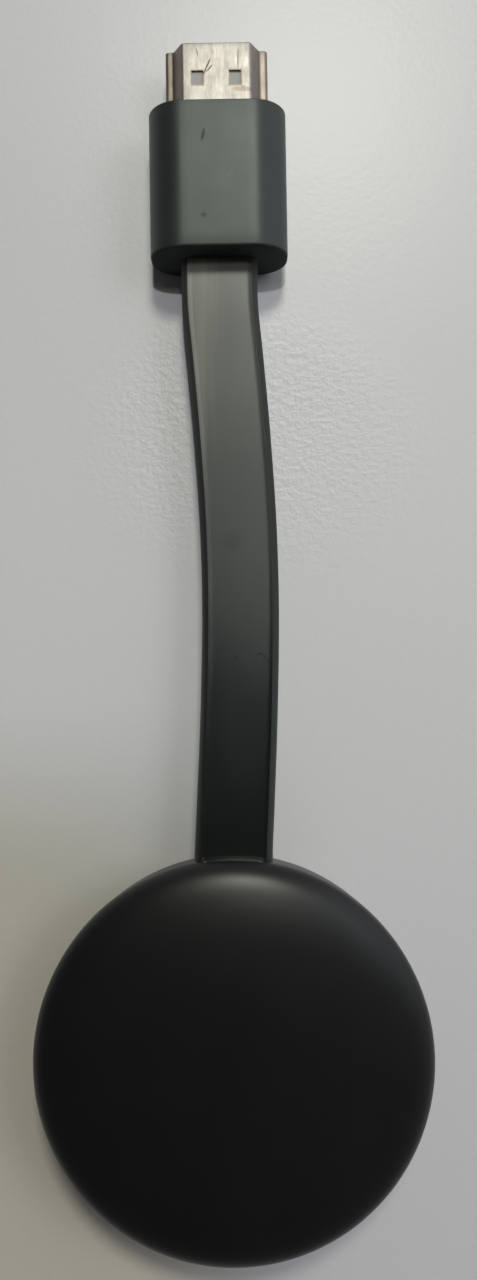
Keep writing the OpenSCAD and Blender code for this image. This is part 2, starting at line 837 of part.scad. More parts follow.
module cable_relief() {
    color(plastic_colour)
        translate([0, 0, cable_z]) box_y(relief_w, relief_t, relief_back, relief_front);
}

// Closed skin over rings of n points each, one after another along +Y
module skin(rings, n) {
    last = len(rings) / n - 1;
    walls = [for (i = [0 : last - 1]) for (j = [0 : n - 1])
        [i * n + j, i * n + (j + 1) % n, (i + 1) * n + (j + 1) % n, (i + 1) * n + j]];
    start_cap = [[for (j = [n - 1 : -1 : 0]) j]];
    end_cap = [[for (j = [0 : n - 1]) last * n + j]];
    polyhedron(points = rings, faces = concat(walls, start_cap, end_cap));
}

module cable() {
    path = smooth_path(cable_route, cable_steps);
    section = cable_section();
    last = len(path) - 1;
    // Direction at each ring, square to the strain relief and to the housing at the ends
    leads = [for (i = [0 : last])
        i == 0 ? route_exit : i == last ? route_lead : path[i + 1] - path[i - 1]];
    rings = [
        for (i = [0 : last])
            let (way = unit(leads[i]), side = unit(cross(way, [0, 0, 1])), up = cross(side, way))
            for (p = section) path[i] + side * p.x + up * p.y
    ];
    color(soft_colour) skin(rings, len(section));
}

module plug_housing() {
    color(soft_colour)
        in_plug()
            difference() {
                skin(housing_rings(), 4 * (corner_steps + 1));
                along_y(shell_outline(-fit_gap), inner_shield_end, housing_l + over);
                box_y(inner_shield_w + 2 * fit_gap, inner_shield_t + 2 * fit_gap, inner_shield_start,
                    inner_shield_end + fit_gap);
                translate([0, 0, plug_wire_z])
                    box_y(wire_room_w, wire_room_t, plug_wire_start, inner_shield_end);
            }
}

module plug_shell() {
    color(metal_colour)
        in_plug()
            difference() {
                along_y(shell_outline(0), shell_start, shell_tip);
                along_y(shell_outline(shell_wall), shell_start - over, shell_tip + over);
                // Latch windows in both wide faces
                for (side = [-1, 1])
                    translate([side * window_pitch / 2, 0, 0])
                        box_y(window_w, shell_t + over, shell_tip - window_back - window_l / 2,
                            shell_tip - window_back + window_l / 2);
            }
}

module plug_insulator() {
    color(plastic_colour)
        in_plug()
            difference() {
                along_y(shell_outline(shell_wall + fit_gap), shell_start, insulator_front);
                translate([0, 0, (slot_top + slot_bottom) / 2])
                    box_y(slot_w, slot_h, insulator_front - slot_l, insulator_front + over);
                contact_row(upper_count, slot_top - contact_t, fit_gap / 2, over);
                contact_row(lower_count, slot_bottom, fit_gap / 2, over);
            }
}

// Row of contacts with their undersides at z0, grown by gap all round and by more at both ends
module contact_row(count, z0, gap, more) {
    for (i = [0 : count - 1])
        translate([(i - (count - 1) / 2) * contact_pitch, 0, z0 + contact_t / 2])
            box_y(contact_w + 2 * gap, contact_t + 2 * gap, shell_start - contact_tail - more,
                insulator_front - contact_setback + more);
}

module plug_contacts_upper() {
    color(gold_colour) in_plug() contact_row(upper_count, slot_top - contact_t, 0, 0);
}

module plug_contacts_lower() {
    color(gold_colour) in_plug() contact_row(lower_count, slot_bottom, 0, 0);
}

module plug_solder_board() {
    color(board_colour)
        in_plug()
            translate([0, 0, (slot_top + slot_bottom) / 2])
                box_y(solder_board_w, slot_h - 2 * contact_t, shell_start - solder_board_l, shell_start);
}

module plug_wires() {
    color([0.55, 0.12, 0.1])
        in_plug()
            for (i = [0 : wire_count - 1])
                translate([(i - (wire_count - 1) / 2) * wire_pitch, 0, plug_wire_z])
                    radial_rod(wire_r, -plug_wire_start, solder_board_l - shell_start);
}

module plug_inner_shield() {
    color(tin_colour)
        in_plug()
            difference() {
                box_y(inner_shield_w, inner_shield_t, inner_shield_start, inner_shield_end);
                box_y(inner_shield_w - 2 * can_wall, inner_shield_t - 2 * can_wall,
                    inner_shield_start + can_wall, inner_shield_end + over);
                translate([0, 0, plug_wire_z])
                    box_y(wire_room_w, wire_room_t, inner_shield_start - over, inner_shield_end);
            }
}

top_cover();
bottom_cover();
light_pipe();
status_led();
reset_button();
switch_plunger();
switch_body();
power_socket_shell();
power_socket_core();
power_socket_contacts();
main_board();
processor_chip();
memory_chip();
flash_chip();
wireless_chip();
main_shield();
radio_shield();
lower_shield();
upper_thermal_pad();
lower_thermal_pad();
heat_spreader();
antennas();
power_inductors();
board_components();
clock_crystal();
board_screws();
spreader_screws();
cable_header();
board_wires();
cable_relief();
cable();
plug_housing();
plug_shell();
plug_insulator();
plug_contacts_upper();
plug_contacts_lower();
plug_solder_board();
plug_wires();
plug_inner_shield();
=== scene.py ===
import math
import bmesh
import bpy
import numpy as np
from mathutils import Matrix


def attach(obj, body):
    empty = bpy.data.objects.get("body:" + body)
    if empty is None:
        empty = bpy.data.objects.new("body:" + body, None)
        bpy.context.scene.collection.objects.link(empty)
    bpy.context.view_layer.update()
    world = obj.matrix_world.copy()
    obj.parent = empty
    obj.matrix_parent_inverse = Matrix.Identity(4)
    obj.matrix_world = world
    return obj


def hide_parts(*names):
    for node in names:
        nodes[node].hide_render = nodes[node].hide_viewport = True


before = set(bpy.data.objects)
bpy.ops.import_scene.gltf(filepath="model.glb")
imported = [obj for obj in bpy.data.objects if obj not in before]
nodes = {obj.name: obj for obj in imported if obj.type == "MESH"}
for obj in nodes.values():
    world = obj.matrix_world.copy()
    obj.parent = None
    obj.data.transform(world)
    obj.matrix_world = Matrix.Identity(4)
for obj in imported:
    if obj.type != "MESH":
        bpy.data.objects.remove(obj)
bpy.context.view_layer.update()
mm = 0.001
print("frame loaded,", len(nodes), "nodes")


# Camera: overhead, a little north of the puck; the place in millimetres, the turn in degrees
cameraFacts = dict(place=(1.01, 50.01, 146.12), turn=(1.787, 0.164, -0.042),
                   focalPixels=1050.0, longSide=1280.0, sensor=36.0)
cameraData = bpy.data.cameras.new("camera")
cameraData.lens = cameraFacts["sensor"] * cameraFacts["focalPixels"] / cameraFacts["longSide"]
cameraData.sensor_width = cameraFacts["sensor"]
cameraData.clip_start = 0.01
cameraData.clip_end = 20.0
camera = bpy.data.objects.new("camera", cameraData)
camera.location = [v * mm for v in cameraFacts["place"]]
camera.rotation_euler = [math.radians(v) for v in cameraFacts["turn"]]
bpy.context.scene.collection.objects.link(camera)
bpy.context.scene.camera = camera


# All surfaces come from arrays, with lengths in millimetres.
# Quads of a grid of rows by columns, either way closed if asked.
def gridFaces(rows, columns, closeRows=False, closeColumns=False):
    i, j = np.meshgrid(np.arange(rows - (not closeRows)), np.arange(columns - (not closeColumns)),
                       indexing="ij")
    nextI, nextJ = (i + 1) % rows, (j + 1) % columns
    quads = [i * columns + j, i * columns + nextJ, nextI * columns + nextJ, nextI * columns + j]
    return np.stack(quads, -1).reshape(-1, 4)


# Edges that only one of the quads has, each in that quad's own direction.
def openEdges(quads):
    edges = np.concatenate([quads[:, [0, 1]], quads[:, [1, 2]], quads[:, [2, 3]], quads[:, [3, 0]]])
    _, index, count = np.unique(np.sort(edges, 1), axis=0, return_index=True, return_counts=True)
    return edges[index[count == 1]]


# A grid of points (rows, columns, 3) with its quads, and flat caps on its first and last rows if asked.
def gridSurface(points, closeRows=False, closeColumns=False, caps=False):
    rows, columns = points.shape[:2]
    faces = gridFaces(rows, columns, closeRows, closeColumns).tolist()
    if caps:
        faces += [np.arange(columns)[::-1].tolist(), (np.arange(columns) + (rows - 1) * columns).tolist()]
    return points.reshape(-1, 3), faces


# A half profile of (radius, height) turned about the vertical axis: x = r sin a, y = -r cos a, z = height.
def turned(profile, count, fromAngle=0.0, toAngle=360.0, closeProfile=False):
    whole = abs(toAngle - fromAngle) >= 360.0
    angle = np.radians(np.linspace(fromAngle, toAngle, count, endpoint=not whole))[:, None]
    radius, height = np.asarray(profile, float).T
    points = np.stack([radius * np.sin(angle), -radius * np.cos(angle), height + 0 * angle], -1)
    surface = gridSurface(points, closeRows=whole, closeColumns=closeProfile)
    if not whole:
        first = np.arange(len(radius))
        surface[1].extend([first.tolist(), (first[::-1] + (count - 1) * len(radius)).tolist()])
    return surface


# Arc of a circle about (x, y), angles in degrees.
def arc(x, y, radius, fromAngle, toAngle, steps):
    a = np.radians(np.linspace(fromAngle, toAngle, steps + 1))
    return np.stack([x + radius * np.cos(a), y + radius * np.sin(a)], -1)


# Rectangle about the origin with round corners, counter-clockwise from the right side; its long sides are cut
# in parts.
def roundRect(width, height, corner, steps, parts=1):
    x, y = width / 2 - corner, height / 2 - corner
    top = np.stack([np.linspace(x, -x, parts + 1)[1:-1], np.full(parts - 1, height / 2)], -1)
    return np.vstack([
        arc(x, y, corner, 0, 90, steps), top, arc(-x, y, corner, 90, 180, steps),
        arc(-x, -y, corner, 180, 270, steps), -top, arc(x, -y, corner, 270, 360, steps)])


# Corners of an outline replaced by arcs that touch both sides.
def roundCorners(corners, radius, steps=5):
    corners = np.asarray(corners, float)
    before, after = np.roll(corners, 1, 0) - corners, np.roll(corners, -1, 0) - corners
    before /= np.linalg.norm(before, axis=1, keepdims=True)
    after /= np.linalg.norm(after, axis=1, keepdims=True)
    half = np.arccos(np.clip((before * after).sum(1, keepdims=True), -1, 1)) / 2
    middle = (before + after) / np.linalg.norm(before + after, axis=1, keepdims=True)
    centre = corners + middle * radius / np.sin(half)
    start = corners + before * radius / np.tan(half) - centre
    end = corners + after * radius / np.tan(half) - centre
    sweep = np.pi - 2 * half
    t = np.linspace(0, 1, steps + 1)[None, :]
    startShare, endShare = np.sin((1 - t) * sweep)[..., None], np.sin(t * sweep)[..., None]
    points = (startShare * start[:, None] + endShare * end[:, None]) / np.sin(sweep)[..., None]
    return (points + centre[:, None]).reshape(-1, 2)


# Outline moved inwards by a distance along the mean of its sides' normals, with a limit at sharp corners.
def insetOutline(outline, distance):
    leastDivisor = 0.3
    side = np.roll(outline, -1, 0) - outline
    side /= np.maximum(np.linalg.norm(side, axis=1, keepdims=True), 1e-9)
    normal = np.stack([-side[:, 1], side[:, 0]], -1)
    both = normal + np.roll(normal, 1, 0)
    divisor = (both * np.roll(normal, 1, 0)).sum(1, keepdims=True)
    return outline + distance * both / np.maximum(divisor, leastDivisor)


# Outlines in x and z stacked along y: one ring of points for each place y.
def ringsAlongY(outlines, places):
    outlines = np.asarray(outlines, float)
    y = np.broadcast_to(np.asarray(places, float)[:, None], outlines.shape[:2])
    return np.stack([outlines[..., 0], y, outlines[..., 1]], -1)


# Block with rounded upright edges and bevelled rims: four rounded rectangles stacked upwards.
def block(low, high, corner=0.1, steps=3):
    low, high = np.asarray(low, float), np.asarray(high, float)
    size, centre = high - low, (low + high) / 2
    inner = roundRect(size[0] - 2 * corner, size[1] - 2 * corner, corner, steps)
    outer = roundRect(size[0], size[1], corner * 1.5, steps)
    levels = [(inner, low[2]), (outer, low[2] + corner), (outer, high[2] - corner), (inner, high[2])]
    points = np.stack([np.column_stack([o + centre[:2], np.full(len(o), z)]) for o, z in levels])
    return gridSurface(points, closeColumns=True, caps=True)


# One piece from several surfaces: doubles merged, faces outwards, edges sharper than the angle kept sharp.
def makePiece(name, surfaces, body, material, replaced, sharp, place=None):
    weldDistance = 4e-6
    points, faces, start = [], [], 0
    for some, their in surfaces:
        points.append(some)
        faces += [[k + start for k in face] for face in their]
        start += len(some)
    points = np.concatenate(points)
    if place is not None:
        points = place(points)
    mesh = bpy.data.meshes.new(name)
    mesh.from_pydata((points * mm).tolist(), [], faces)
    work = bmesh.new()
    work.from_mesh(mesh)
    bmesh.ops.remove_doubles(work, verts=work.verts, dist=weldDistance)
    bmesh.ops.recalc_face_normals(work, faces=work.faces)
    work.to_mesh(mesh)
    work.free()
    mesh.shade_smooth()
    mesh.set_sharp_from_angle(angle=math.radians(sharp))
    mesh.materials.append(material)
    piece = bpy.data.objects.new(name, mesh)
    bpy.context.scene.collection.objects.link(piece)
    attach(piece, body)
    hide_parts(*replaced)
    return piece


# A socket that takes part in Python expressions: each operator adds one Math node.
class Value:
    def __init__(self, tree, socket):
        self.tree, self.socket = tree, socket

    def maths(self, operation, *values, clamp=False):
        node = self.tree.nodes.new("ShaderNodeMath")
        node.operation = operation
        node.use_clamp = clamp
        for socket, value in zip(node.inputs, values):
            if isinstance(value, Value):
                self.tree.links.new(value.socket, socket)
            else:
                socket.default_value = value
        return Value(self.tree, node.outputs[0])

    def __add__(self, other):
        return self.maths("ADD", self, other)

    def __sub__(self, other):
        return self.maths("SUBTRACT", self, other)

    def __rsub__(self, other):
        return self.maths("SUBTRACT", other, self)

    def __mul__(self, other):
        return self.maths("MULTIPLY", self, other)

    def __truediv__(self, other):
        return self.maths("DIVIDE", self, other)

    __radd__, __rmul__ = __add__, __mul__

    def abs(self):
        return self.maths("ABSOLUTE", self)

    def clip(self):
        return self.maths("ADD", self, 0.0, clamp=True)

    def wave(self):
        return self.maths("SINE", self)

    def larger(self, other):
        return self.maths("MAXIMUM", self, other)

    def below(self, other):
        return self.maths("LESS_THAN", self, other)

    def above(self, other):
        return self.maths("GREATER_THAN", self, other)

    # 0 under low, 1 over high, smooth between
    def ramp(self, low, high):
        node = self.tree.nodes.new("ShaderNodeMapRange")
        node.interpolation_type = "SMOOTHSTEP"
        node.inputs["From Min"].default_value = low
        node.inputs["From Max"].default_value = high
        self.tree.links.new(self.socket, node.inputs["Value"])
        return Value(self.tree, node.outputs[0])


# One material: its shader, and one method for every other node.
class Finish:
    def __init__(self, name, **constants):
        self.material = bpy.data.materials.new(name)
        self.material.use_nodes = True
        self.tree = self.material.node_tree
        self.shader = self.tree.nodes["Principled BSDF"]
        self.output = self.tree.nodes["Material Output"]
        for socket, value in constants.items():
            self.shader.inputs[socket.replace("_", " ")].default_value = value
        self.coordinates = self.tree.nodes.new("ShaderNodeTexCoord")

    # A node of a type: its settings first, then the values or links of its sockets, by name or as s0, s1 ...
    def node(self, kind, output=0, settings=None, **sockets):
        node = self.tree.nodes.new("ShaderNode" + kind)
        for key, value in (settings or {}).items():
            setattr(node, key, value)
        for key, value in sockets.items():
            numbered = key[0] == "s" and key[1:].isdigit()
            socket = node.inputs[int(key[1:]) if numbered else key.replace("_", " ")]
            if isinstance(value, Value):
                self.tree.links.new(value.socket, socket)
            else:
                socket.default_value = value
        return Value(self.tree, node.outputs[output])

    def place(self, source="Object"):
        return Value(self.tree, self.coordinates.outputs[source])

    # Object coordinates in millimetres, moved and turned about the vertical first
    def axes(self, centre=(0, 0, 0), turn=0.0):
        moved = self.node("Mapping", settings=dict(vector_type="TEXTURE"), Vector=self.place(),
                          Location=[v * mm for v in centre], Rotation=(0, 0, math.radians(turn)),
                          Scale=(mm, mm, mm))
        node = self.tree.nodes.new("ShaderNodeSeparateXYZ")
        self.tree.links.new(moved.socket, node.inputs[0])
        return [Value(self.tree, node.outputs[k]) for k in range(3)]

    # Fractal noise from 0 to 1, its grain about so many millimetres
    def noise(self, grain, detail=3.0, roughness=0.55, stretch=(1, 1, 1), shift=0.0):
        moved = self.node("Mapping", Vector=self.place(), Location=(shift, shift * 0.7, shift * 1.3),
                          Scale=stretch)
        return self.node("TexNoise", Vector=moved, Scale=1.0 / (grain * mm), Detail=detail,
                         Roughness=roughness)

    # Two colours mixed; a plain one is given as red, green and blue
    def mix(self, amount, first, second, blend="MIX"):
        first, second = (v if isinstance(v, Value) else (*v, 1.0) for v in (first, second))
        return self.node("Mix", output=2, settings=dict(data_type="RGBA", blend_type=blend),
                         s0=amount, s6=first, s7=second)

    def bump(self, height, distance, strength=1.0, under=None):
        sockets = dict(Height=height, Distance=distance * mm, Strength=strength)
        if under is not None:
            sockets["Normal"] = under
        return self.node("Bump", **sockets)

    # Worn spot: 1 inside an ellipse about a place in millimetres, 0 outside, its edge frayed by noise
    def spot(self, x, y, place, size, turn=0.0, fray=1.0):
        c, s = math.cos(math.radians(turn)), math.sin(math.radians(turn))
        u = (x * c + y * s + -(place[0] * c + place[1] * s)) * (1 / size[0])
        v = (y * c - x * s + (place[0] * s - place[1] * c)) * (1 / size[1])
        far = u * u + v * v + (self.noise(0.7, detail=3.0, roughness=0.65, shift=11.0) - 0.5) * fray
        return 1.0 - far.ramp(0.35, 1.2)

    def feed(self, **sockets):
        for key, value in sockets.items():
            self.tree.links.new(value.socket, self.shader.inputs[key.replace("_", " ")])
        return self.material


print("helpers ready")


# Cable: a flat section carried along the route, whose points are given as shares of its reach and of its drop
cableFacts = dict(
    width=10.3, thickness=2.8, bulge=0.8, arris=0.1, crown=0.02,
    exitY=22.6, reach=83.15, slotZ=6.7, plugZ=5.3, stepsPerSpan=12,
    route=[(0, 0, 0), (0, 0.053, 0), (0.0036, 0.137, 0.14), (0.0084, 0.27, 0.5), (0.0108, 0.426, 0.8),
           (0.0072, 0.57, 1), (-0.0024, 0.714, 1.07), (-0.0132, 0.835, 1.07), (-0.0222, 0.928, 1),
           (-0.0233, 1, 1)])
cableDrop = cableFacts["plugZ"] - cableFacts["slotZ"]
route = np.array(cableFacts["route"]) * [cableFacts["reach"], cableFacts["reach"], cableDrop]
route += [0, cableFacts["exitY"], cableFacts["slotZ"]]

# The plug's frame: its rear face at the cable's end, its nose along the cable's last stretch.
lead = route[-1] - route[-2]
plugTurn = math.degrees(math.atan2(-lead[0], lead[1]))

# Shell of the plug: its outline, wall, lip and windows; places along it count from the housing's rear face
shellFacts = dict(width=13.9, height=4.45, narrow=9.24, slopeH=2.13, slopeW=1.23, bend=0.45, wall=0.3,
                  lip=0.14, start=13.6, tip=29.0, windowW=1.6, windowL=2.0, windowX=2.53, windowY=24.2,
                  windowZ=1.2)


# Puck covers: matte black moulding with a fine spark-eroded grain, a little dust and faint rub marks
def coverFinish():
    facts = dict(dark=(0.0062, 0.0063, 0.0064), light=(0.009, 0.0091, 0.0092), dust=(0.05, 0.05, 0.048),
                 rough=0.35)
    f = Finish("coverPlastic", Specular_IOR_Level=0.4)
    grain = f.noise(0.16, detail=2.0)
    patches = f.noise(9.0, detail=4.0, roughness=0.6)
    dust = f.noise(0.5, detail=2.0, shift=3.0).ramp(0.66, 0.8) * f.noise(12.0, shift=5.0).ramp(0.4, 0.7)
    tint = f.mix(patches, facts["dark"], facts["light"])
    tint = f.mix(dust * 0.12, tint, facts["dust"])
    return f.feed(Base_Color=tint, Roughness=facts["rough"] + (patches - 0.5) * 0.06 + dust * 0.1,
                  Normal=f.bump(grain, 0.006, 0.3))


# Cable jacket: satin extruded skin with lengthwise drawing lines and small scuffs; lighter towards the plug,
# partly from dust and wear and partly painted sheen; clean and glossier towards the puck
def jacketFinish():
    facts = dict(clean=(0.0058, 0.0066, 0.0069), wornAndSheen=(0.0175, 0.019, 0.018), dust=(0.105, 0.1, 0.082),
                 speck=(0.1, 0.105, 0.09), smudge=(0.004, 0.0075, 0.005), rough=0.23)
    f = Finish("cableJacketSkin", Specular_IOR_Level=0.82, Specular_Tint=(0.95, 1.0, 0.99, 1.0))
    x, y, z = f.axes()
    # the lighter colour towards the plug and on a strip along the west edge is partly dust and wear, partly
    # painted sheen
    wornAndSheen = y.ramp(43.0, 69.0)
    dustAndSheenNearPlug = y.ramp(66.0, 98.0)
    lines = f.noise(0.35, detail=3.0, stretch=(1.0, 0.02, 1.0))
    streaks = f.noise(1.4, detail=3.0, stretch=(1.0, 0.05, 1.0), shift=4.0)
    patches = f.noise(6.0, detail=4.0, roughness=0.6, stretch=(1.0, 0.5, 1.0))
    speck = f.noise(0.3, detail=2.0, shift=7.0).ramp(0.68, 0.8)
    west = (x * -1.0 + (streaks - 0.5) * 2.5).ramp(2.3, 4.3)
    smudge = f.spot(x, y, (-0.36, 67.4), (1.25, 1.5), fray=0.5) * z.above(6.0)
    scratch = f.spot(x, y, (-4.75, 89.5), (0.1, 0.9), turn=12.0, fray=0.6)
    # the dust, wear and painted sheen lie on the top only: the sides stay dark and matt
    sides = 1.0 - f.node("SeparateXYZ", output=2, Vector=f.place("Normal")).ramp(0.8, 0.96)
    # colour of wear, dust and painted sheen, kept off the sides
    tint = f.mix(wornAndSheen, facts["clean"], facts["wornAndSheen"])
    tint = f.mix(y.ramp(74.0, 100.0) * (0.14 + 0.3 * streaks), tint, facts["dust"])
    tint = f.mix(dustAndSheenNearPlug * west * (0.55 + streaks.ramp(0.3, 0.75) * 0.45), tint, facts["dust"])
    tint = f.mix(speck * wornAndSheen * 0.2 + scratch * 0.5, tint, facts["speck"])
    tint = f.mix(smudge * 0.8, tint, facts["smudge"])
    tint = f.mix(sides * 0.85, tint, facts["clean"])
    rough = facts["rough"] + wornAndSheen * 0.16 + (patches - 0.5) * 0.14 + smudge * 0.08 + sides * 0.3
    return f.feed(Base_Color=tint, Roughness=rough,
                  Normal=f.bump(lines, 0.03, 0.25, under=f.bump(f.noise(0.2), 0.01, 0.3)))


# Plug housing: soft overmould, rougher than the cable, with small scuffs, two nicks at its rear edge and
# painted shade on its rear face
def housingFinish():
    facts = dict(dark=(0.0142, 0.0162, 0.0152), light=(0.0195, 0.022, 0.0205), scuff=(0.006, 0.007, 0.0065),
                 pale=(0.09, 0.095, 0.085), red=(0.05, 0.026, 0.024), back=(0.003, 0.0032, 0.0031),
                 rough=0.42)
    f = Finish("housingRubber", Specular_IOR_Level=0.6, Specular_Tint=(0.89, 1.0, 0.99, 1.0))
    x, y, z = f.axes()
    upper = z.above(9.0)
    # the rear face is matt, and its colour is darkened as painted shade
    rear = 1.0 - f.axes(centre=route[-1], turn=plugTurn)[1].ramp(0.0, 0.5)
    patches = f.noise(5.0, detail=5.0, roughness=0.65)
    grain = f.noise(0.14, detail=2.0)
    speck = f.noise(0.35, detail=2.0, shift=9.0).ramp(0.68, 0.8)
    dark = (f.spot(x, y, (-3.98, 120.6), (0.2, 0.95), turn=-12.0)
            + f.spot(x, y, (-3.9, 109.9), (0.4, 0.35)) * 0.6)
    scuff = (dark * upper).clip()
    red = f.spot(x, y, (-0.44, 115.4), (0.35, 0.9), turn=-35.0)
    westNick = f.spot(x, y, (-10.5, 107.9), (0.5, 0.3), fray=0.7) * (1.0 - (z - 6.5).abs().ramp(0.3, 0.8))
    eastNick = f.spot(x, y, (7.3, 106.6), (0.4, 0.3), fray=0.7) * (1.0 - (z - 3.5).abs().ramp(0.3, 0.9))
    tint = f.mix(patches, facts["dark"], facts["light"])
    tint = f.mix(speck * 0.3, tint, facts["pale"])
    tint = f.mix(scuff * 0.8, tint, facts["scuff"])
    tint = f.mix(red * upper * 0.5, tint, facts["red"])
    # painted shade on the rear face
    tint = f.mix(rear * 0.8, tint, facts["back"])
    tint = f.mix((westNick + eastNick * 0.6).clip() * 0.8, tint, facts["pale"])
    rough = facts["rough"] + (patches - 0.5) * 0.08 + scuff * 0.12 + rear * 0.4
    return f.feed(Base_Color=tint, Roughness=rough, Normal=f.bump(grain, 0.012, 0.3))


# Plug shell: dull nickel over steel sheet, rubbed along its length, with scratches by the windows and dark
# handling marks, and painted shade on its shoulders, sloped sides, lower part and round its windows
def nickelFinish():
    facts = dict(low=(0.345, 0.32, 0.305), high=(0.46, 0.435, 0.425), markAndShade=(0.19, 0.13, 0.075),
                 cut=(0.04, 0.032, 0.025), rough=0.5)
    f = Finish("shellNickelPlate", Metallic=1.0)
    x, y, z = f.axes()
    plugX, plugY, plugZ = f.axes(centre=route[-1], turn=plugTurn)
    upper = z.above(7.0)
    rub = f.noise(0.3, detail=4.0, roughness=0.7, stretch=(1.0, 0.12, 1.0), shift=2.0)
    scratches = f.noise(0.1, detail=2.0, stretch=(1.0, 0.04, 1.0), shift=5.0).ramp(0.62, 0.72)
    smudge = f.noise(1.8, detail=4.0, roughness=0.65)
    marks = f.noise(0.7, detail=5.0, roughness=0.75, stretch=(1.0, 0.6, 1.0), shift=8.0).ramp(0.55, 0.75)
    cuts = (f.spot(x, y, (-3.6, 131.4), (0.12, 1.5), turn=-22.0, fray=1.4)
            + f.spot(x, y, (-3.25, 131.2), (0.1, 0.7), turn=-40.0, fray=1.2)
            + f.spot(x, y, (0.6, 132.4), (0.07, 1.7), fray=1.3)
            + f.spot(x, y, (-4.9, 133.4), (0.07, 0.6), turn=8.0, fray=1.2))
    grime = (f.spot(x, y, (1.2, 128.4), (1.5, 0.4), fray=2.2)
             + f.spot(x, y, (-4.6, 129.4), (0.8, 0.2), fray=1.6))
    # painted shade round the windows, where the sheet's cut edge and the gap behind it lie in shade
    across = (plugX.abs() - shellFacts["windowX"]).abs() * (2 / shellFacts["windowW"])
    along = (plugY - shellFacts["windowY"]).abs() * (2 / shellFacts["windowL"])
    paintedWindowShade = 1.0 - across.larger(along).ramp(1.05, 1.25)
    # painted shade on the shoulders, the sloped sides and the lower part of the shell
    paintedSideShade = (1.0 - plugZ.ramp(0.15, 0.6)) * 0.42 + (1.0 - (plugZ - 1.1).abs().ramp(0.6, 1.1)) * 0.36
    tint = f.mix(rub.ramp(0.25, 0.75), facts["low"], facts["high"])
    # the marks and grime are dirt; the side and window terms are painted shade
    dull = marks * 0.3 + grime * upper * 0.45 + paintedSideShade + paintedWindowShade * 0.5
    tint = f.mix(dull.clip(), tint, facts["markAndShade"])
    tint = f.mix((cuts * upper).clip() * 0.85, tint, facts["cut"])
    return f.feed(Base_Color=tint, Roughness=facts["rough"] + (smudge - 0.5) * 0.2 - scratches * 0.08,
                  Normal=f.bump(scratches + rub, 0.008, 0.3))


# Plain metal sheet or wire: a base colour, brushed streaks and fine pits
def metalFinish(name, low, high, rough, grain=0.4, stretch=(1.0, 0.08, 1.0)):
    f = Finish(name, Metallic=1.0)
    streaks = f.noise(grain, detail=3.0, stretch=stretch)
    patches = f.noise(3.0, detail=3.0, shift=4.0)
    return f.feed(Base_Color=f.mix(patches, low, high),
                  Roughness=rough + (streaks - 0.5) * 0.18, Normal=f.bump(streaks, 0.006, 0.3))


# Moulded plastic: a base colour, moulding grain and faint flow patches
def mouldedFinish(name, low, high, rough, grain=0.12, depth=0.008, **constants):
    f = Finish(name, **constants)
    patches = f.noise(2.2, detail=3.0)
    pits = f.noise(grain, detail=2.0, shift=6.0)
    return f.feed(Base_Color=f.mix(patches, low, high),
                  Roughness=rough + (patches - 0.5) * 0.1, Normal=f.bump(pits, depth, 0.4))


# Board: green mask over copper lines on a raster, bare pads at every second crossing
def boardFinish():
    facts = dict(mask=(0.008, 0.07, 0.035), line=(0.018, 0.13, 0.06), pad=(0.72, 0.7, 0.62),
                 rasterX=0.9, rasterY=1.3, rough=0.32)
    f = Finish("boardMask", Specular_IOR_Level=0.5)
    x, y = f.axes()[:2]
    stepX, stepY = math.pi / facts["rasterX"], math.pi / facts["rasterY"]
    lineX = (x * stepX).wave().abs().below(0.22)
    lineY = (y * stepY).wave().abs().below(0.16)
    padX = (x * (stepX / 2)).wave().abs().below(0.3)
    padY = (y * (stepY / 2)).wave().abs().below(0.22)
    area = f.noise(2.4, detail=1.0)
    lines = (lineX * area.above(0.5) + lineY * area.below(0.5)).clip()
    pads = padX * padY * area.above(0.56)
    tint = f.mix(lines, facts["mask"], facts["line"])
    tint = f.mix(pads, tint, facts["pad"])
    return f.feed(Base_Color=tint, Roughness=facts["rough"] + area * 0.1, Metallic=pads * 0.9,
                  Normal=f.bump(lines, 0.02, 0.5))


cover = coverFinish()
jacket = jacketFinish()
housingSkin = housingFinish()
nickel = nickelFinish()
tin = metalFinish("tinnedSheet", (0.62, 0.63, 0.64), (0.76, 0.77, 0.78), 0.34)
gilt = metalFinish("goldFlash", (0.78, 0.55, 0.2), (0.9, 0.68, 0.3), 0.24)
aluminium = metalFinish("spreaderSheet", (0.7, 0.71, 0.72), (0.82, 0.83, 0.84), 0.38, grain=0.7)
stripMetal = metalFinish("antennaStrip", (0.66, 0.63, 0.57), (0.78, 0.75, 0.7), 0.3)
zinc = metalFinish("zincPlate", (0.5, 0.5, 0.47), (0.64, 0.64, 0.6), 0.36, grain=0.2, stretch=(1, 1, 1))
blackMoulding = mouldedFinish("insulatorMoulding", (0.02, 0.02, 0.02), (0.03, 0.03, 0.03), 0.42)
# the insulator's light grey paints the sheen seen through the shell's windows: painted reflection
paintedSheenInsulator = mouldedFinish("plugInsulatorPaintedSheen", (0.26, 0.255, 0.23), (0.36, 0.35, 0.32), 0.5)
chipResin = mouldedFinish("chipResin", (0.012, 0.012, 0.013), (0.018, 0.018, 0.019), 0.55,
                          grain=0.05, depth=0.01)
nylon = mouldedFinish("plungerNylon", (0.68, 0.67, 0.6), (0.78, 0.77, 0.7), 0.4)
socketNylon = mouldedFinish("headerNylon", (0.66, 0.6, 0.45), (0.76, 0.7, 0.55), 0.45)
wireSkin = mouldedFinish("wireSkin", (0.3, 0.02, 0.015), (0.4, 0.035, 0.02), 0.3)
ferriteBody = mouldedFinish("ferriteBody", (0.03, 0.03, 0.032), (0.05, 0.05, 0.052), 0.6,
                            grain=0.06, depth=0.012)
capBody = mouldedFinish("capacitorBody", (0.35, 0.22, 0.11), (0.48, 0.32, 0.17), 0.3)
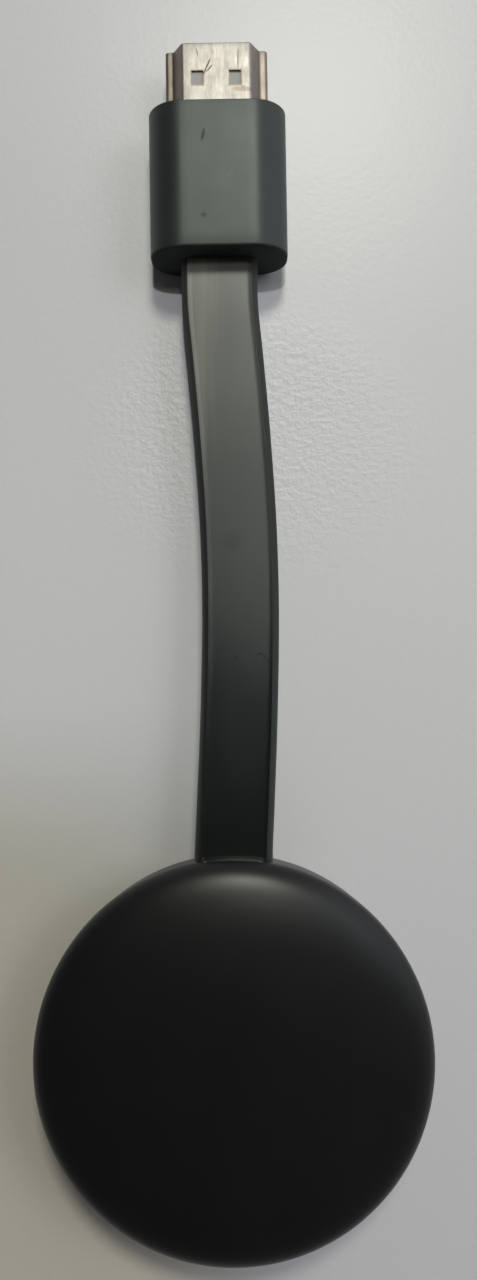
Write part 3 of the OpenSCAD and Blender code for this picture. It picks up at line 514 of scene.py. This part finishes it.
padRubber = mouldedFinish("thermalPad", (0.2, 0.26, 0.34), (0.26, 0.32, 0.4), 0.75, grain=0.2, depth=0.02)
reliefRubber = mouldedFinish("reliefRubber", (0.012, 0.012, 0.012), (0.02, 0.02, 0.02), 0.55)
buttonMoulding = mouldedFinish("buttonMoulding", (0.009, 0.009, 0.0095), (0.014, 0.014, 0.015), 0.4)
clearMoulding = mouldedFinish("lightPipeMoulding", (0.8, 0.83, 0.85), (0.88, 0.9, 0.92), 0.12,
                              Transmission_Weight=0.75, IOR=1.49)
ledBody = mouldedFinish("ledResin", (0.8, 0.72, 0.4), (0.88, 0.8, 0.5), 0.25)
board = boardFinish()
print("finishes ready")

# CAD nodes that keep their shape, and the finish of each
carried = dict(
    status_led=ledBody, switch_plunger=nylon, switch_body=blackMoulding, power_socket_core=blackMoulding,
    power_socket_contacts=gilt, main_board=board, processor_chip=chipResin, memory_chip=chipResin,
    flash_chip=chipResin, wireless_chip=chipResin, main_shield=tin, radio_shield=tin, lower_shield=tin,
    upper_thermal_pad=padRubber, lower_thermal_pad=padRubber, heat_spreader=aluminium, antennas=stripMetal,
    power_inductors=ferriteBody, board_components=capBody, clock_crystal=tin, board_screws=zinc,
    spreader_screws=zinc, cable_header=socketNylon, board_wires=wireSkin, cable_relief=reliefRubber,
    plug_insulator=paintedSheenInsulator, plug_contacts_upper=gilt, plug_contacts_lower=gilt, plug_solder_board=board,
    plug_wires=wireSkin, plug_inner_shield=tin)
for name, material in carried.items():
    mesh = nodes[name].data
    mesh.materials.clear()
    mesh.materials.append(material)


# Smooth curve through all points: each span is the cubic whose end slopes are half the step between its
# neighbours.
def smoothPath(points, perSpan):
    points = np.vstack([2 * points[0] - points[1], points, 2 * points[-1] - points[-2]])
    t = np.linspace(0, 1, perSpan, endpoint=False)[None, :, None]
    a, b, c, d = (points[k:len(points) - 3 + k, None, :] for k in range(4))
    square, cube = 2 * a - 5 * b + 4 * c - d, 3 * b - a - 3 * c + d
    curve = (2 * b + (c - a) * t + square * t ** 2 + cube * t ** 3) / 2
    return np.vstack([curve.reshape(-1, 3), points[-2]])


# Section carried along a path: each ring lies in the plane square to the path, its x axis level.
def swept(path, section, startWay, endWay):
    way = np.gradient(path, axis=0)
    way[0], way[-1] = startWay, endWay
    way /= np.linalg.norm(way, axis=1, keepdims=True)
    side = np.cross(way, [0, 0, 1.0])
    side /= np.linalg.norm(side, axis=1, keepdims=True)
    up = np.cross(side, way)
    return path[:, None] + side[:, None] * section[None, :, :1] + up[:, None] * section[None, :, 1:]


# Section of the cable: a flat band with crisp arrises, its top slightly crowned and its sides bulging by a
# parabola over the thickness. The lower half is the upper one turned round.
def bandSection():
    f = cableFacts
    half, high, arris = f["width"] / 2 - f["bulge"], f["thickness"] / 2, f["arris"]
    z = np.linspace(-high + arris, high - arris, 9)
    side = np.column_stack([half + f["bulge"] * (1 - (z / high) ** 2), z])
    x = np.linspace(half - arris, arris - half, 15)
    top = np.column_stack([x, high * (1 - f["crown"] * (x / half) ** 2)])
    corner = arc(0, 0, arris, 0, 90, 4)[1:-1]
    rightCorner = corner + [half - arris, high - arris]
    leftCorner = [[-1, 1]] * corner[::-1] + [arris - half, high - arris]
    upper = np.vstack([side, rightCorner, top, leftCorner])
    return np.vstack([upper, -upper])


cablePath = smoothPath(route, cableFacts["stepsPerSpan"])
cableRings = swept(cablePath, bandSection(), route[1] - route[0], route[-1] - route[-2])
cable = makePiece("cableJacket", [gridSurface(cableRings, closeColumns=True, caps=True)], "stick",
                  jacket, replaced=("cable",), sharp=65)


# Points of the plug's frame, turned and moved to the cable's end.
def inPlug(points):
    c, s = math.cos(math.radians(plugTurn)), math.sin(math.radians(plugTurn))
    return points @ np.array([[c, s, 0], [-s, c, 0], [0, 0, 1]]) + route[-1]


# Outline of the shell with bent corners; its top and bottom have points at the windows' edges and middles.
def shellOutline():
    f = shellFacts
    x0, x2, z0, z2 = f["narrow"] / 2, f["width"] / 2, -f["height"] / 2, f["height"] / 2
    x1, z1 = x0 + f["slopeW"], z2 - f["slopeH"]
    corners = [(x2, z0), (x2, z1), (x1, z1), (x0, z2), (-x0, z2), (-x1, z1), (-x2, z1), (-x2, z0)]
    right, left = np.split(roundCorners(corners, f["bend"]), 2)
    centre, half = f["windowX"], f["windowW"] / 2
    stops = np.array([-centre - half, -centre, -centre + half, 0, centre - half, centre, centre + half])
    top = np.column_stack([stops[::-1], np.full(len(stops), z2)])
    bottom = np.column_stack([stops, np.full(len(stops), z0)])
    return np.vstack([right, top, left, bottom])


# Outline read off at the bearings of other points: its distance from the origin as a function of the angle.
def atBearings(outline, points):
    t = np.linspace(0, 1, 12, endpoint=False)[None, :, None]
    dense = (outline[:, None] * (1 - t) + np.roll(outline, -1, 0)[:, None] * t).reshape(-1, 2)
    angle, far = np.arctan2(dense[:, 1], dense[:, 0]), np.hypot(dense[:, 0], dense[:, 1])
    order = np.argsort(angle)
    bearing = np.arctan2(points[:, 1], points[:, 0])
    reach = np.interp(bearing, angle[order], far[order], period=2 * np.pi)
    return np.column_stack([reach * np.cos(bearing), reach * np.sin(bearing)])


# Housing: rounded rectangles along y, each end drawn in on a quarter circle; its front face steps back in a
# narrow trench round the metal shell.
housingFacts = dict(width=18.5, height=10.6, length=19.6, corner=4.6, rearEdge=0.4, frontEdge=0.16,
                    trench=0.16, depth=0.7, bevel=0.1, gap=0.01)


def housingSurface():
    f = housingFacts
    length, rearEdge, frontEdge, trench = (f[k] for k in ("length", "rearEdge", "frontEdge", "trench"))
    turn = np.radians(np.linspace(0, 90, 7))
    rear = [(rearEdge * (1 - math.cos(a)), rearEdge * (1 - math.sin(a))) for a in turn]
    front = [(length - frontEdge * (1 - math.sin(a)), frontEdge * (1 - math.cos(a))) for a in turn]
    middle = [(y, 0.0) for y in np.linspace(rearEdge, length - frontEdge, 12)[1:-1]]
    stations = rear + middle + front
    outlines = [roundRect(f["width"] - 2 * d, f["height"] - 2 * d, f["corner"] - d, steps=14, parts=10)
                for _, d in stations]
    mouth = [atBearings(insetOutline(shellOutline(), -d), outlines[-1])
             for d in (trench + f["bevel"], trench, trench, f["gap"])]
    mouthY = [length, length - f["bevel"], length - f["depth"], length - f["depth"]]
    rings = ringsAlongY(outlines + mouth, [y for y, _ in stations] + mouthY)
    return gridSurface(rings, closeColumns=True, caps=True)


housing = makePiece("plugHousing", [housingSurface()], "stick", housingSkin,
                    replaced=("plug_housing",), sharp=50, place=inPlug)


# Shell: the outline carried along y as an outer and an inner skin that meet at a round lip. Cells of both
# skins between a window's edges are left out, and the rim between them is walled.
def shellSurface():
    f = shellFacts
    lip, windowStart, windowEnd = f["lip"], f["windowY"] - f["windowL"] / 2, f["windowY"] + f["windowL"] / 2
    outline = shellOutline()
    inner = insetOutline(outline, f["wall"])
    outerStep = insetOutline(outline, lip) - outline
    innerStep = insetOutline(outline, f["wall"] - lip) - inner
    placesY = np.concatenate([np.linspace(f["start"], windowStart, 8),
                              np.linspace(windowStart, windowEnd, 4)[1:],
                              np.linspace(windowEnd, f["tip"] - lip, 6)[1:]])
    turn = np.radians(np.linspace(0, 90, 4))[1:]
    lipY = [f["tip"] - lip + lip * math.sin(a) for a in turn]
    rings = np.concatenate([
        ringsAlongY([outline] * len(placesY), placesY),
        ringsAlongY([outline + outerStep * (1 - math.cos(a)) for a in turn], lipY),
        ringsAlongY([inner + innerStep * (1 - math.cos(a)) for a in turn], lipY)[::-1],
        ringsAlongY([inner] * len(placesY), placesY)[::-1]])
    columns = len(outline)
    points = rings.reshape(-1, 3)
    faces = gridFaces(len(rings), columns, closeRows=True, closeColumns=True)
    x, y, z = points[faces].mean(1).T
    hole = (np.abs(np.abs(x) - f["windowX"]) < f["windowW"] / 2) & (np.abs(z) > f["windowZ"])
    hole &= np.abs(y - f["windowY"]) < f["windowL"] / 2
    rim = openEdges(faces[hole])
    rim = rim[rim[:, 0] // columns < len(placesY)]
    across = (len(rings) - 1 - rim // columns) * columns + rim % columns
    walls = np.column_stack([rim[:, 0], rim[:, 1], across[:, 1], across[:, 0]])
    return points, faces[~hole].tolist() + walls.tolist()


shell = makePiece("plugShell", [shellSurface()], "stick", nickel, replaced=("plug_shell",),
                  sharp=40, place=inPlug)


# Top cover: the dome's outer skin is z = edge + rise (1 - (r / R)^n)^(1 / n), the inner skin the same form
# further in.
topFacts = dict(radius=25.9, edgeZ=8.8, seamZ=8.2, topZ=13.8, power=2.8, wall=1.5, fillet=0.15)


def domeSkin(radius, low, high, power, steps):
    a = np.radians(np.linspace(90, 0, steps + 1))
    return np.column_stack([radius * np.sin(a) ** (2 / power), low + (high - low) * np.cos(a) ** (2 / power)])


def topSurface():
    f = topFacts
    outer = domeSkin(f["radius"], f["edgeZ"], f["topZ"], f["power"], steps=84)
    foot = arc(f["radius"] - f["fillet"], f["seamZ"] + f["fillet"], f["fillet"], -90, 0, 4)
    inner = domeSkin(f["radius"] - f["wall"], f["edgeZ"], f["topZ"] - f["wall"], f["power"], steps=40)[::-1]
    return turned(np.vstack([inner, [(f["radius"] - f["wall"], f["seamZ"])], foot, outer]), count=256)


# The same turned profile at several bearings on a ring about the axis.
def onRing(profile, ring, angles):
    made = []
    for a in np.radians(angles):
        points, faces = turned(profile, count=32)
        made.append((points + [ring * math.cos(a), ring * math.sin(a), 0], faces))
    return made


# Inside the top: posts for the spreader's screws, up into the dome, and the block over the strain relief
topInsideFacts = dict(ring=17.1, angles=(90, 210, 330), radius=1.3, hole=0.75, low=9.6, high=12.2,
                      holeTop=11.7, block=((-4.55, 18.6, 8.8), (4.55, 21.5, 11.6)))


def topInside():
    f = topInsideFacts
    profile = [(0, f["holeTop"]), (f["hole"], f["holeTop"]), (f["hole"], f["low"]), (f["radius"], f["low"]),
               (f["radius"], f["high"]), (0, f["high"])]
    return [*onRing(profile, f["ring"], f["angles"]), block(*f["block"])]


makePiece("puckTop", [topSurface(), *topInside()], "stick", cover,
          replaced=("top_cover",), sharp=42)
print("top cover ready")


# Bottom cover: two skins, outer and inner, on one grid of angle and profile. Cells inside an opening are left
# out, and the grid round it is drawn onto its outline, a rounded rectangle.
baseFacts = dict(footR=25.3, wallR=25.6, meanR=25.45, footRound=2.3, seamZ=8.2, roomR=23.8, floor=1.6,
                 innerRound=0.8, rimFillet=0.2, wallRows=31, margin=1.2, angleStep=1.1, drawnCells=3.0)

# Openings in the wall: bearing from south towards east, height of the middle, half width and half height
openings = dict(
    socket=dict(angle=0.0, z=5.4266, halfW=4.1, halfH=1.575, corner=0.8),
    button=dict(angle=20.008, z=5.0516, halfW=1.5, halfH=1.5, corner=1.5),
    light=dict(angle=-17.0, z=5.0516, halfW=0.8, halfH=0.8, corner=0.8),
    cable=dict(angle=180.0, z=8.2, halfW=5.25, halfH=3.0, corner=0.5))


# Radius of the drafted wall at a height.
def wallRadius(z):
    f = baseFacts
    return f["footR"] + (f["wallR"] - f["footR"]) * (z - f["footRound"]) / (f["seamZ"] - f["footRound"])


# Radii and heights of the outer and the inner profile, row by row, and the row from which the wall rises.
def baseProfiles():
    f = baseFacts
    footEnd, bendEnd = f["footR"] - f["footRound"], f["roomR"] - f["innerRound"]
    flat = np.linspace(0, footEnd, 9)[:-1]
    wallZ = np.linspace(f["footRound"], f["seamZ"], f["wallRows"])[1:]
    foot = arc(footEnd, f["footRound"], f["footRound"], -90, 0, 10)
    bend = arc(bendEnd, f["floor"] + f["innerRound"], f["innerRound"], -90, 0, 10)
    roomZ = np.maximum(wallZ, f["floor"] + f["innerRound"])
    outer = (np.concatenate([flat, foot[:, 0], wallRadius(wallZ)]),
             np.concatenate([0 * flat, foot[:, 1], wallZ]))
    inner = (np.concatenate([flat * bendEnd / footEnd, bend[:, 0], np.full(len(wallZ), f["roomR"])]),
             np.concatenate([0 * flat + f["floor"], bend[:, 1], roomZ]))
    return (outer, inner), len(flat) + len(foot) - 1


# Angles of the grid's columns: dense beside the openings, even elsewhere.
def baseAngles():
    f = baseFacts
    marks = []
    for o in openings.values():
        half = math.degrees(o["halfW"] / f["meanR"])
        more = math.degrees((o["halfW"] + f["margin"]) / f["meanR"])
        marks += [o["angle"] + k for k in (-more, -half, half, more)]
    marks = np.sort(np.array(marks) % 360)
    angles = []
    for a, b in zip(marks, np.append(marks[1:], marks[0] + 360)):
        parts = max(2, int(math.ceil((b - a) / f["angleStep"])))
        angles.append(np.linspace(a, b, parts + 1)[:-1])
    return np.radians(np.concatenate(angles))


# Point of an opening's outline in the direction (across, up) from its middle.
def onOutline(o, across, up):
    size = np.maximum(np.maximum(np.abs(across), np.abs(up)), 1e-6)
    edgeX, edgeZ = across / size * o["halfW"], up / size * o["halfH"]
    straightX, straightZ = o["halfW"] - o["corner"], o["halfH"] - o["corner"]
    centreX, centreZ = np.clip(edgeX, -straightX, straightX), np.clip(edgeZ, -straightZ, straightZ)
    far = np.maximum(np.hypot(edgeX - centreX, edgeZ - centreZ), 1e-9)
    return (centreX + (edgeX - centreX) * o["corner"] / far,
            centreZ + (edgeZ - centreZ) * o["corner"] / far)


def baseSurface():
    f = baseFacts
    profiles, firstWall = baseProfiles()
    theta = baseAngles()
    count, columns = len(profiles[0][0]), len(theta)
    skins = [(np.tile(theta, (count, 1)), np.tile(radius[:, None], (1, columns)),
              np.tile(height[:, None], (1, columns))) for radius, height in profiles]
    keep = np.ones((count - 1, columns), bool)
    rowIndex = np.arange(count)[:, None]

    def rowAt(z):
        share = (z - f["footRound"]) / (f["seamZ"] - f["footRound"])
        return firstWall + int(round(share * (f["wallRows"] - 1)))

    for o in openings.values():
        # the columns and rows that the opening takes, counted from its middle
        away = (theta - math.radians(o["angle"]) + math.pi) % (2 * math.pi) - math.pi
        half = o["halfW"] / f["meanR"]
        middle = int(np.abs(away).argmin())
        order = (np.arange(columns) - middle + columns // 2) % columns - columns // 2
        taken = order[(away >= -half - 1e-6) & (away <= half + 1e-6)]
        low, high = taken.min(), taken.max()
        midI, halfI = (low + high) / 2, (high - low) / 2
        openTop = o["z"] + o["halfH"] > f["seamZ"]
        rowTop = rowAt(min(o["z"] + o["halfH"], f["seamZ"]))
        rowBottom = rowAt(o["z"] - o["halfH"])
        midJ = rowTop if openTop else (rowTop + rowBottom) / 2
        halfJ = rowTop - rowBottom if openTop else (rowTop - rowBottom) / 2
        keep[rowBottom:rowTop, (order >= low) & (order < high)] = False
        # how far each point is drawn: wholly at the outline, not at all a few cells further out
        di, dj = (order[None, :] - midI) / halfI, (rowIndex - midJ) / halfJ
        ring = np.maximum((np.abs(di) - 1) * halfI, (np.abs(dj) - 1) * halfJ) / f["drawnCells"]
        near, share = ring < 1, np.clip(1 - ring, 0, 1)
        outlineX, outlineZ = onOutline(o, di, dj)
        bearing = math.radians(o["angle"])
        gridAngle = bearing + away[None, :]
        for angle, radius, height in skins:
            # the limits only matter near the axis, which no opening reaches
            outlineAngle = bearing + np.arcsin(np.clip(outlineX / np.maximum(radius, 5), -0.9, 0.9))
            newAngle = gridAngle + (outlineAngle - gridAngle) * share
            newHeight = height + (o["z"] + outlineZ - height) * share
            if openTop:
                newHeight = np.where(rowIndex == count - 1, f["seamZ"], np.minimum(newHeight, f["seamZ"]))
            angle[near] = newAngle[near]
            height[near] = newHeight[near]
    # the drafted wall: its radius follows the height after the grid was drawn
    outerRadius, outerHeight = skins[0][1:]
    wall = (outerHeight > f["footRound"]) & (rowIndex > firstWall)
    outerRadius[wall] = wallRadius(outerHeight)[wall]
    outerRadius[-1] -= f["rimFillet"]
    points = np.concatenate([np.stack([r * np.sin(a), -r * np.cos(a), z], -1).reshape(-1, 3)
                             for a, r, z in skins])
    kept = gridFaces(count, columns, closeColumns=True)[keep.ravel()]
    # the walls between the skins, apart from the poles in the first row
    rim = openEdges(kept)
    rim = rim[(rim >= columns).all(1)]
    inner = count * columns
    walls = np.column_stack([rim[:, 1], rim[:, 0], rim[:, 0] + inner, rim[:, 1] + inner])
    return points, kept.tolist() + (kept[:, ::-1] + inner).tolist() + walls.tolist()


# Inside the base: the lip that locates the top, four bosses and the cradle of the strain relief
baseInsideFacts = dict(
    lip=[(23.48, 7.6), (24.1, 7.6), (24.27, 8.0), (24.27, 9.05), (24.12, 9.2), (23.63, 9.2), (23.48, 9.05)],
    lipStart=196.5, lipEnd=523.5,
    boss=[(0, 0.97), (0.75, 0.97), (0.75, 3.1), (0.85, 3.2), (1.75, 3.2), (1.9, 3.05), (1.9, 1.5)],
    bossRing=19.2, bossAngles=(40, 140, 220, 320),
    cradle=[((-7.5, 19.0, 1.4), (7.5, 23.4, 4.7)), ((-7.5, 19.0, 1.4), (-6.6, 23.0, 7.1)),
            ((6.6, 19.0, 1.4), (7.5, 23.0, 7.1))])


def baseInside():
    f = baseInsideFacts
    lip = turned(f["lip"], count=160, fromAngle=f["lipStart"], toAngle=f["lipEnd"], closeProfile=True)
    return [lip, *onRing(f["boss"], f["bossRing"], f["bossAngles"]), *(block(*ends) for ends in f["cradle"])]


makePiece("puckBase", [baseSurface(), *baseInside()], "stick", cover,
          replaced=("bottom_cover",), sharp=35)
print("bottom cover ready")


# Round pieces in the wall: a profile of (radius, distance from the puck's axis) turned about the radial line
# through an opening.
def radialTurned(profile, opening, count):
    points, faces = turned(profile, count=count)
    a = math.radians(opening["angle"])
    out = np.array([math.sin(a), -math.cos(a), 0.0])
    side = np.array([math.cos(a), math.sin(a), 0.0])
    up = np.array([0, 0, 1.0])
    placed = points[:, :1] * side + points[:, 1:2] * up + points[:, 2:] * out + [0, 0, opening["z"]]
    return placed, faces


# Reset button: a stem, a flange behind the wall and a rounded cap with a dished face
buttonProfile = np.vstack([
    [(0, 22.35), (0.7, 22.35), (0.8, 22.45), (0.8, 23.0), (1.75, 23.0), (1.9, 23.1), (1.9, 23.45),
     (1.8, 23.55), (1.4, 23.55), (1.4, 24.95)],
    arc(1.15, 24.93, 0.25, 10, 80, 4), [(0.8, 25.14), (0.4, 25.08), (0, 25.06)]])
makePiece("resetButtonCap", [radialTurned(buttonProfile, openings["button"], 48)], "reset_button",
          buttonMoulding, replaced=("reset_button",), sharp=45)

# Light pipe: a rod with a flange behind the wall and a slightly domed lens
pipeProfile = np.vstack([
    [(0, 22.3), (0.75, 22.3), (0.75, 23.05), (1.15, 23.05), (1.15, 23.55), (0.75, 23.55), (0.75, 25.0)],
    arc(0.6, 25.03, 0.15, 15, 90, 3), [(0.3, 25.19), (0, 25.2)]])
makePiece("lightPipeLens", [radialTurned(pipeProfile, openings["light"], 40)], "stick",
          clearMoulding, replaced=("light_pipe",), sharp=45)

# Power socket: a bent sheet tube whose lip flares a little at the mouth
socketFacts = dict(width=7.5, height=2.45, cutW=1.1, cutH=0.9, bend=0.4, wall=0.3, flare=0.06, flareL=0.5,
                   z=openings["socket"]["z"], front=-24.7, back=-19.7)


def socketSurface():
    f = socketFacts
    x, z, front, back = f["width"] / 2, f["height"] / 2, f["front"], f["back"]
    cutX, cutZ = x - f["cutW"], f["cutH"] - z
    corners = [(cutX, -z), (x, cutZ), (x, z), (-x, z), (-x, cutZ), (-cutX, -z)]
    outline = roundCorners(corners, f["bend"])
    inner = insetOutline(outline, f["wall"])
    flare = insetOutline(outline, -f["flare"])
    middle = insetOutline(outline, f["wall"] / 2)
    rings = ringsAlongY([outline, outline, flare, middle, inner, inner],
                        [back, front + f["flareL"], front + 0.1, front, front + 0.15, back])
    rings[..., 2] += f["z"]
    return gridSurface(rings, closeRows=True, closeColumns=True)


makePiece("powerSocketShell", [socketSurface()], "stick", tin,
          replaced=("power_socket_shell",), sharp=40)
print("button, light and socket ready")


# Tone of the plain paper that the camera sees beyond the table top
paperTone = 0.62


# 0 nearer to the origin than the first of two distances, 1 beyond the second.
def beyond(x, y, distances):
    near, far = distances
    return (x * x + y * y).ramp(near ** 2, far ** 2)


# Table top: painted light, lightest by the middle of the cable and a touch darker to the west; where the fill
# light is kept off it, south-west of the puck, a painted warm shade tint that is lighter further south
def tableFinish():
    facts = dict(
        north=(0.54, 0.54, 0.535), middle=(0.57, 0.568, 0.56), south=(0.53, 0.525, 0.53),
        west=(0.985, 0.985, 0.985), paintedShadeWarm=(1.0, 0.965, 0.84), paintedShadeLighter=(1.2, 1.155, 1.01), speck=(0.3, 0.3, 0.3),
        southY=-32.0, middleY=60.0, northY=130.0, warmSouth=(-28.0, 8.0), warmWest=(-8.0, 14.0),
        warmReach=(46.0, 100.0), ripplePlace=(3.0, 82.0), rippleReach=(8.0, 22.0),
        paperY=55.0, paperReach=(190.0, 520.0))
    f = Finish("tableTop", Roughness=0.34, Specular_IOR_Level=0.4)
    x, y = f.axes()[:2]
    # painted light: the colour is lightest by the middle of the cable, darker to the south, the north and the
    # west
    tint = f.mix(y.ramp(facts["southY"], facts["middleY"]), facts["south"], facts["middle"])
    tint = f.mix(y.ramp(facts["middleY"], facts["northY"]), tint, facts["north"])
    east = (x * 0.009 + 0.5).clip()
    tint = f.mix(east, f.mix(1.0, tint, facts["west"], "MULTIPLY"), tint)
    cloud = f.noise(30.0, detail=3.0)
    # painted shade colour where the fill light is kept off the table: warmer, and further south also painted
    # lighter
    shaded = (y * -1.0 + cloud * 14.0 + x * -0.5).ramp(*facts["warmSouth"])
    shaded = shaded * (x * -1.0).ramp(*facts["warmWest"])
    shaded = shaded * (1.0 - beyond(x, y, facts["warmReach"]))
    paintedShadeTint = f.mix((y * -1.0).ramp(*facts["warmSouth"]), facts["paintedShadeWarm"], facts["paintedShadeLighter"])
    tint = f.mix(shaded, tint, paintedShadeTint, "MULTIPLY")
    speck = f.noise(1.3, detail=4.0, roughness=0.7)
    tint = f.mix(speck.ramp(0.3, 0.9) * 0.05, tint, facts["speck"])
    wave = f.noise(0.9, detail=3.0, roughness=0.6)
    # the table's fine ripple is strongest on a round place beside the cable
    rippleX, rippleY = (axis - middle for axis, middle in zip((x, y), facts["ripplePlace"]))
    near, far = facts["rippleReach"]
    rippled = 1.0 - (rippleX * rippleX * 0.6 + rippleY * rippleY).ramp(near ** 2, far ** 2)
    material = f.feed(Base_Color=tint, Normal=f.bump(wave * (0.15 + 0.85 * rippled), 0.2, 0.8))
    # far from the object the camera sees plain paper in place of the table
    rays = Value(f.tree, f.tree.nodes.new("ShaderNodeLightPath").outputs["Is Camera Ray"])
    sheet = f.node("Emission", Color=(paperTone, paperTone, paperTone, 1.0))
    distant = beyond(x, y - facts["paperY"], facts["paperReach"])
    both = f.node("MixShader", s0=rays * distant, s1=Value(f.tree, f.shader.outputs[0]), s2=sheet)
    f.tree.links.new(both.socket, f.output.inputs["Surface"])
    return material


tableHalf = 1.5
tableCorners = [(x * tableHalf, y * tableHalf, 0) for x, y in ((-1, -1), (1, -1), (1, 1), (-1, 1))]
tableMesh = bpy.data.meshes.new("tableTop")
tableMesh.from_pydata(tableCorners, [], [(0, 1, 2, 3)])
tableMesh.materials.append(tableFinish())
tableTop = bpy.data.objects.new("tableTop", tableMesh)
bpy.context.scene.collection.objects.link(tableTop)


# The lamps: tilt from the vertical and bearing from north to east in degrees, distance and size in metres; the
# place that they face is in millimetres. The share is the part of a white floor's full brightness that a lamp
# gives there. Those that aren't glossy only light matt colour: the dark plastic doesn't mirror them.
lampTarget = (0, 60, 0)
lampFacts = dict(
    northWindow=dict(tilt=33.0, bearing=7.0, distance=0.9, size=0.17, share=0.3, tint=(1.0, 1.0, 0.87)),
    ceilingLamp=dict(tilt=13.0, bearing=25.0, distance=0.9, size=0.07, share=0.03, tint=(1.0, 0.99, 0.95)),
    eastGlow=dict(tilt=62.0, bearing=62.0, distance=1.0, size=1.1, share=0.085, tint=(0.88, 0.94, 1.0)),
    eastSky=dict(tilt=36.0, bearing=58.0, distance=1.0, size=0.6, share=0.055, tint=(0.9, 0.95, 1.0)),
    eastFill=dict(tilt=40.0, bearing=78.0, distance=0.9, size=0.4, share=0.095, tint=(0.95, 0.95, 1.0),
                  glossy=False),
    overheadFill=dict(tilt=16.0, bearing=5.0, distance=0.9, size=0.024, share=0.3, tint=(0.92, 0.91, 1.0),
                      glossy=False, bulb=True))


# Round lamp that faces the target. A bulb shines the same way all round, which takes four times the energy.
def addLamp(name, tilt, bearing, distance, size, share, tint, glossy=True, bulb=False):
    t, b = math.radians(tilt), math.radians(bearing)
    data = bpy.data.lights.new(name, "POINT" if bulb else "AREA")
    data.energy = share * math.pi ** 2 * distance ** 2 / math.cos(t)
    if bulb:
        data.energy *= 4
        data.shadow_soft_size = size / 2
    else:
        data.shape = "DISK"
        data.size = size
    data.color = tint
    lamp = bpy.data.objects.new(name, data)
    towards = np.array([math.sin(t) * math.sin(b), math.sin(t) * math.cos(b), math.cos(t)])
    lamp.location = np.array(lampTarget) * mm + towards * distance
    lamp.rotation_euler = (0, 0, 0) if bulb else (-t, 0, -b)
    lamp.visible_glossy = glossy
    bpy.context.scene.collection.objects.link(lamp)
    return lamp


lamps = {name: addLamp(name, **facts) for name, facts in lampFacts.items()}


# The three axes of a coordinate output.
def splitAxes(tree, source):
    place = tree.nodes.new("ShaderNodeTexCoord")
    split = tree.nodes.new("ShaderNodeSeparateXYZ")
    tree.links.new(place.outputs[source], split.inputs[0])
    return (Value(tree, split.outputs[k]) for k in range(3))


# Something out of the picture keeps the fill off the table south-west of the cable. The place where a ray
# meets the table follows from its direction: x = lamp x - lamp height * (direction x / direction z), and y
# likewise.
def shadeFill(lamp):
    facts = dict(edge=(-36.0, -32.0), deeper=(-28.0, 8.0), side=(-9.0, 3.0), reach=(46.0, 100.0),
                 edgeShare=0.72, deeperShare=0.14)
    lamp.data.use_nodes = True
    tree = lamp.data.node_tree
    toEast, toNorth, upward = splitAxes(tree, "Normal")
    lampX, lampY, lampZ = (v / mm for v in lamp.location)
    x, y = toEast / upward * -lampZ + lampX, toNorth / upward * -lampZ + lampY
    edge = (y * -1.0).ramp(*facts["edge"]) * facts["edgeShare"]
    deeper = (y * -1.0).ramp(*facts["deeper"]) * facts["deeperShare"]
    kept = (edge + deeper) * (x * -1.0).ramp(*facts["side"])
    kept = kept * (1.0 - beyond(x, y, facts["reach"]))
    tree.links.new((1.0 - kept).socket, tree.nodes["Emission"].inputs["Strength"])


shadeFill(lamps["overheadFill"])


# Room: dim overhead and to the south, lighter low down in the north and east, a little so all round the
# horizon; the camera sees plain paper
def makeRoom():
    facts = dict(tint=(0.97, 0.98, 1.0, 1.0), least=0.03, glow=0.28, horizon=0.08)
    world = bpy.data.worlds.new("room")
    bpy.context.scene.world = world
    world.use_nodes = True
    tree = world.node_tree
    background = tree.nodes["Background"]
    east, north, height = splitAxes(tree, "Generated")
    glow = (1.0 - height.ramp(0.3, 0.75)) * (east * 0.6 + north * 0.8).ramp(-0.5, 0.9)
    horizon = 1.0 - height.abs().ramp(0.1, 0.5)
    strength = facts["least"] + facts["glow"] * glow + facts["horizon"] * horizon
    tree.links.new(strength.socket, background.inputs["Strength"])
    background.inputs["Color"].default_value = facts["tint"]
    paper = tree.nodes.new("ShaderNodeBackground")
    paper.inputs["Color"].default_value = (paperTone, paperTone, paperTone, 1.0)
    rays = tree.nodes.new("ShaderNodeLightPath")
    blend = tree.nodes.new("ShaderNodeMixShader")
    tree.links.new(rays.outputs["Is Camera Ray"], blend.inputs[0])
    tree.links.new(background.outputs[0], blend.inputs[1])
    tree.links.new(paper.outputs[0], blend.inputs[2])
    tree.links.new(blend.outputs[0], tree.nodes["World Output"].inputs[0])


makeRoom()

bpy.context.scene.view_settings.view_transform = "Standard"
print("stage and light ready")
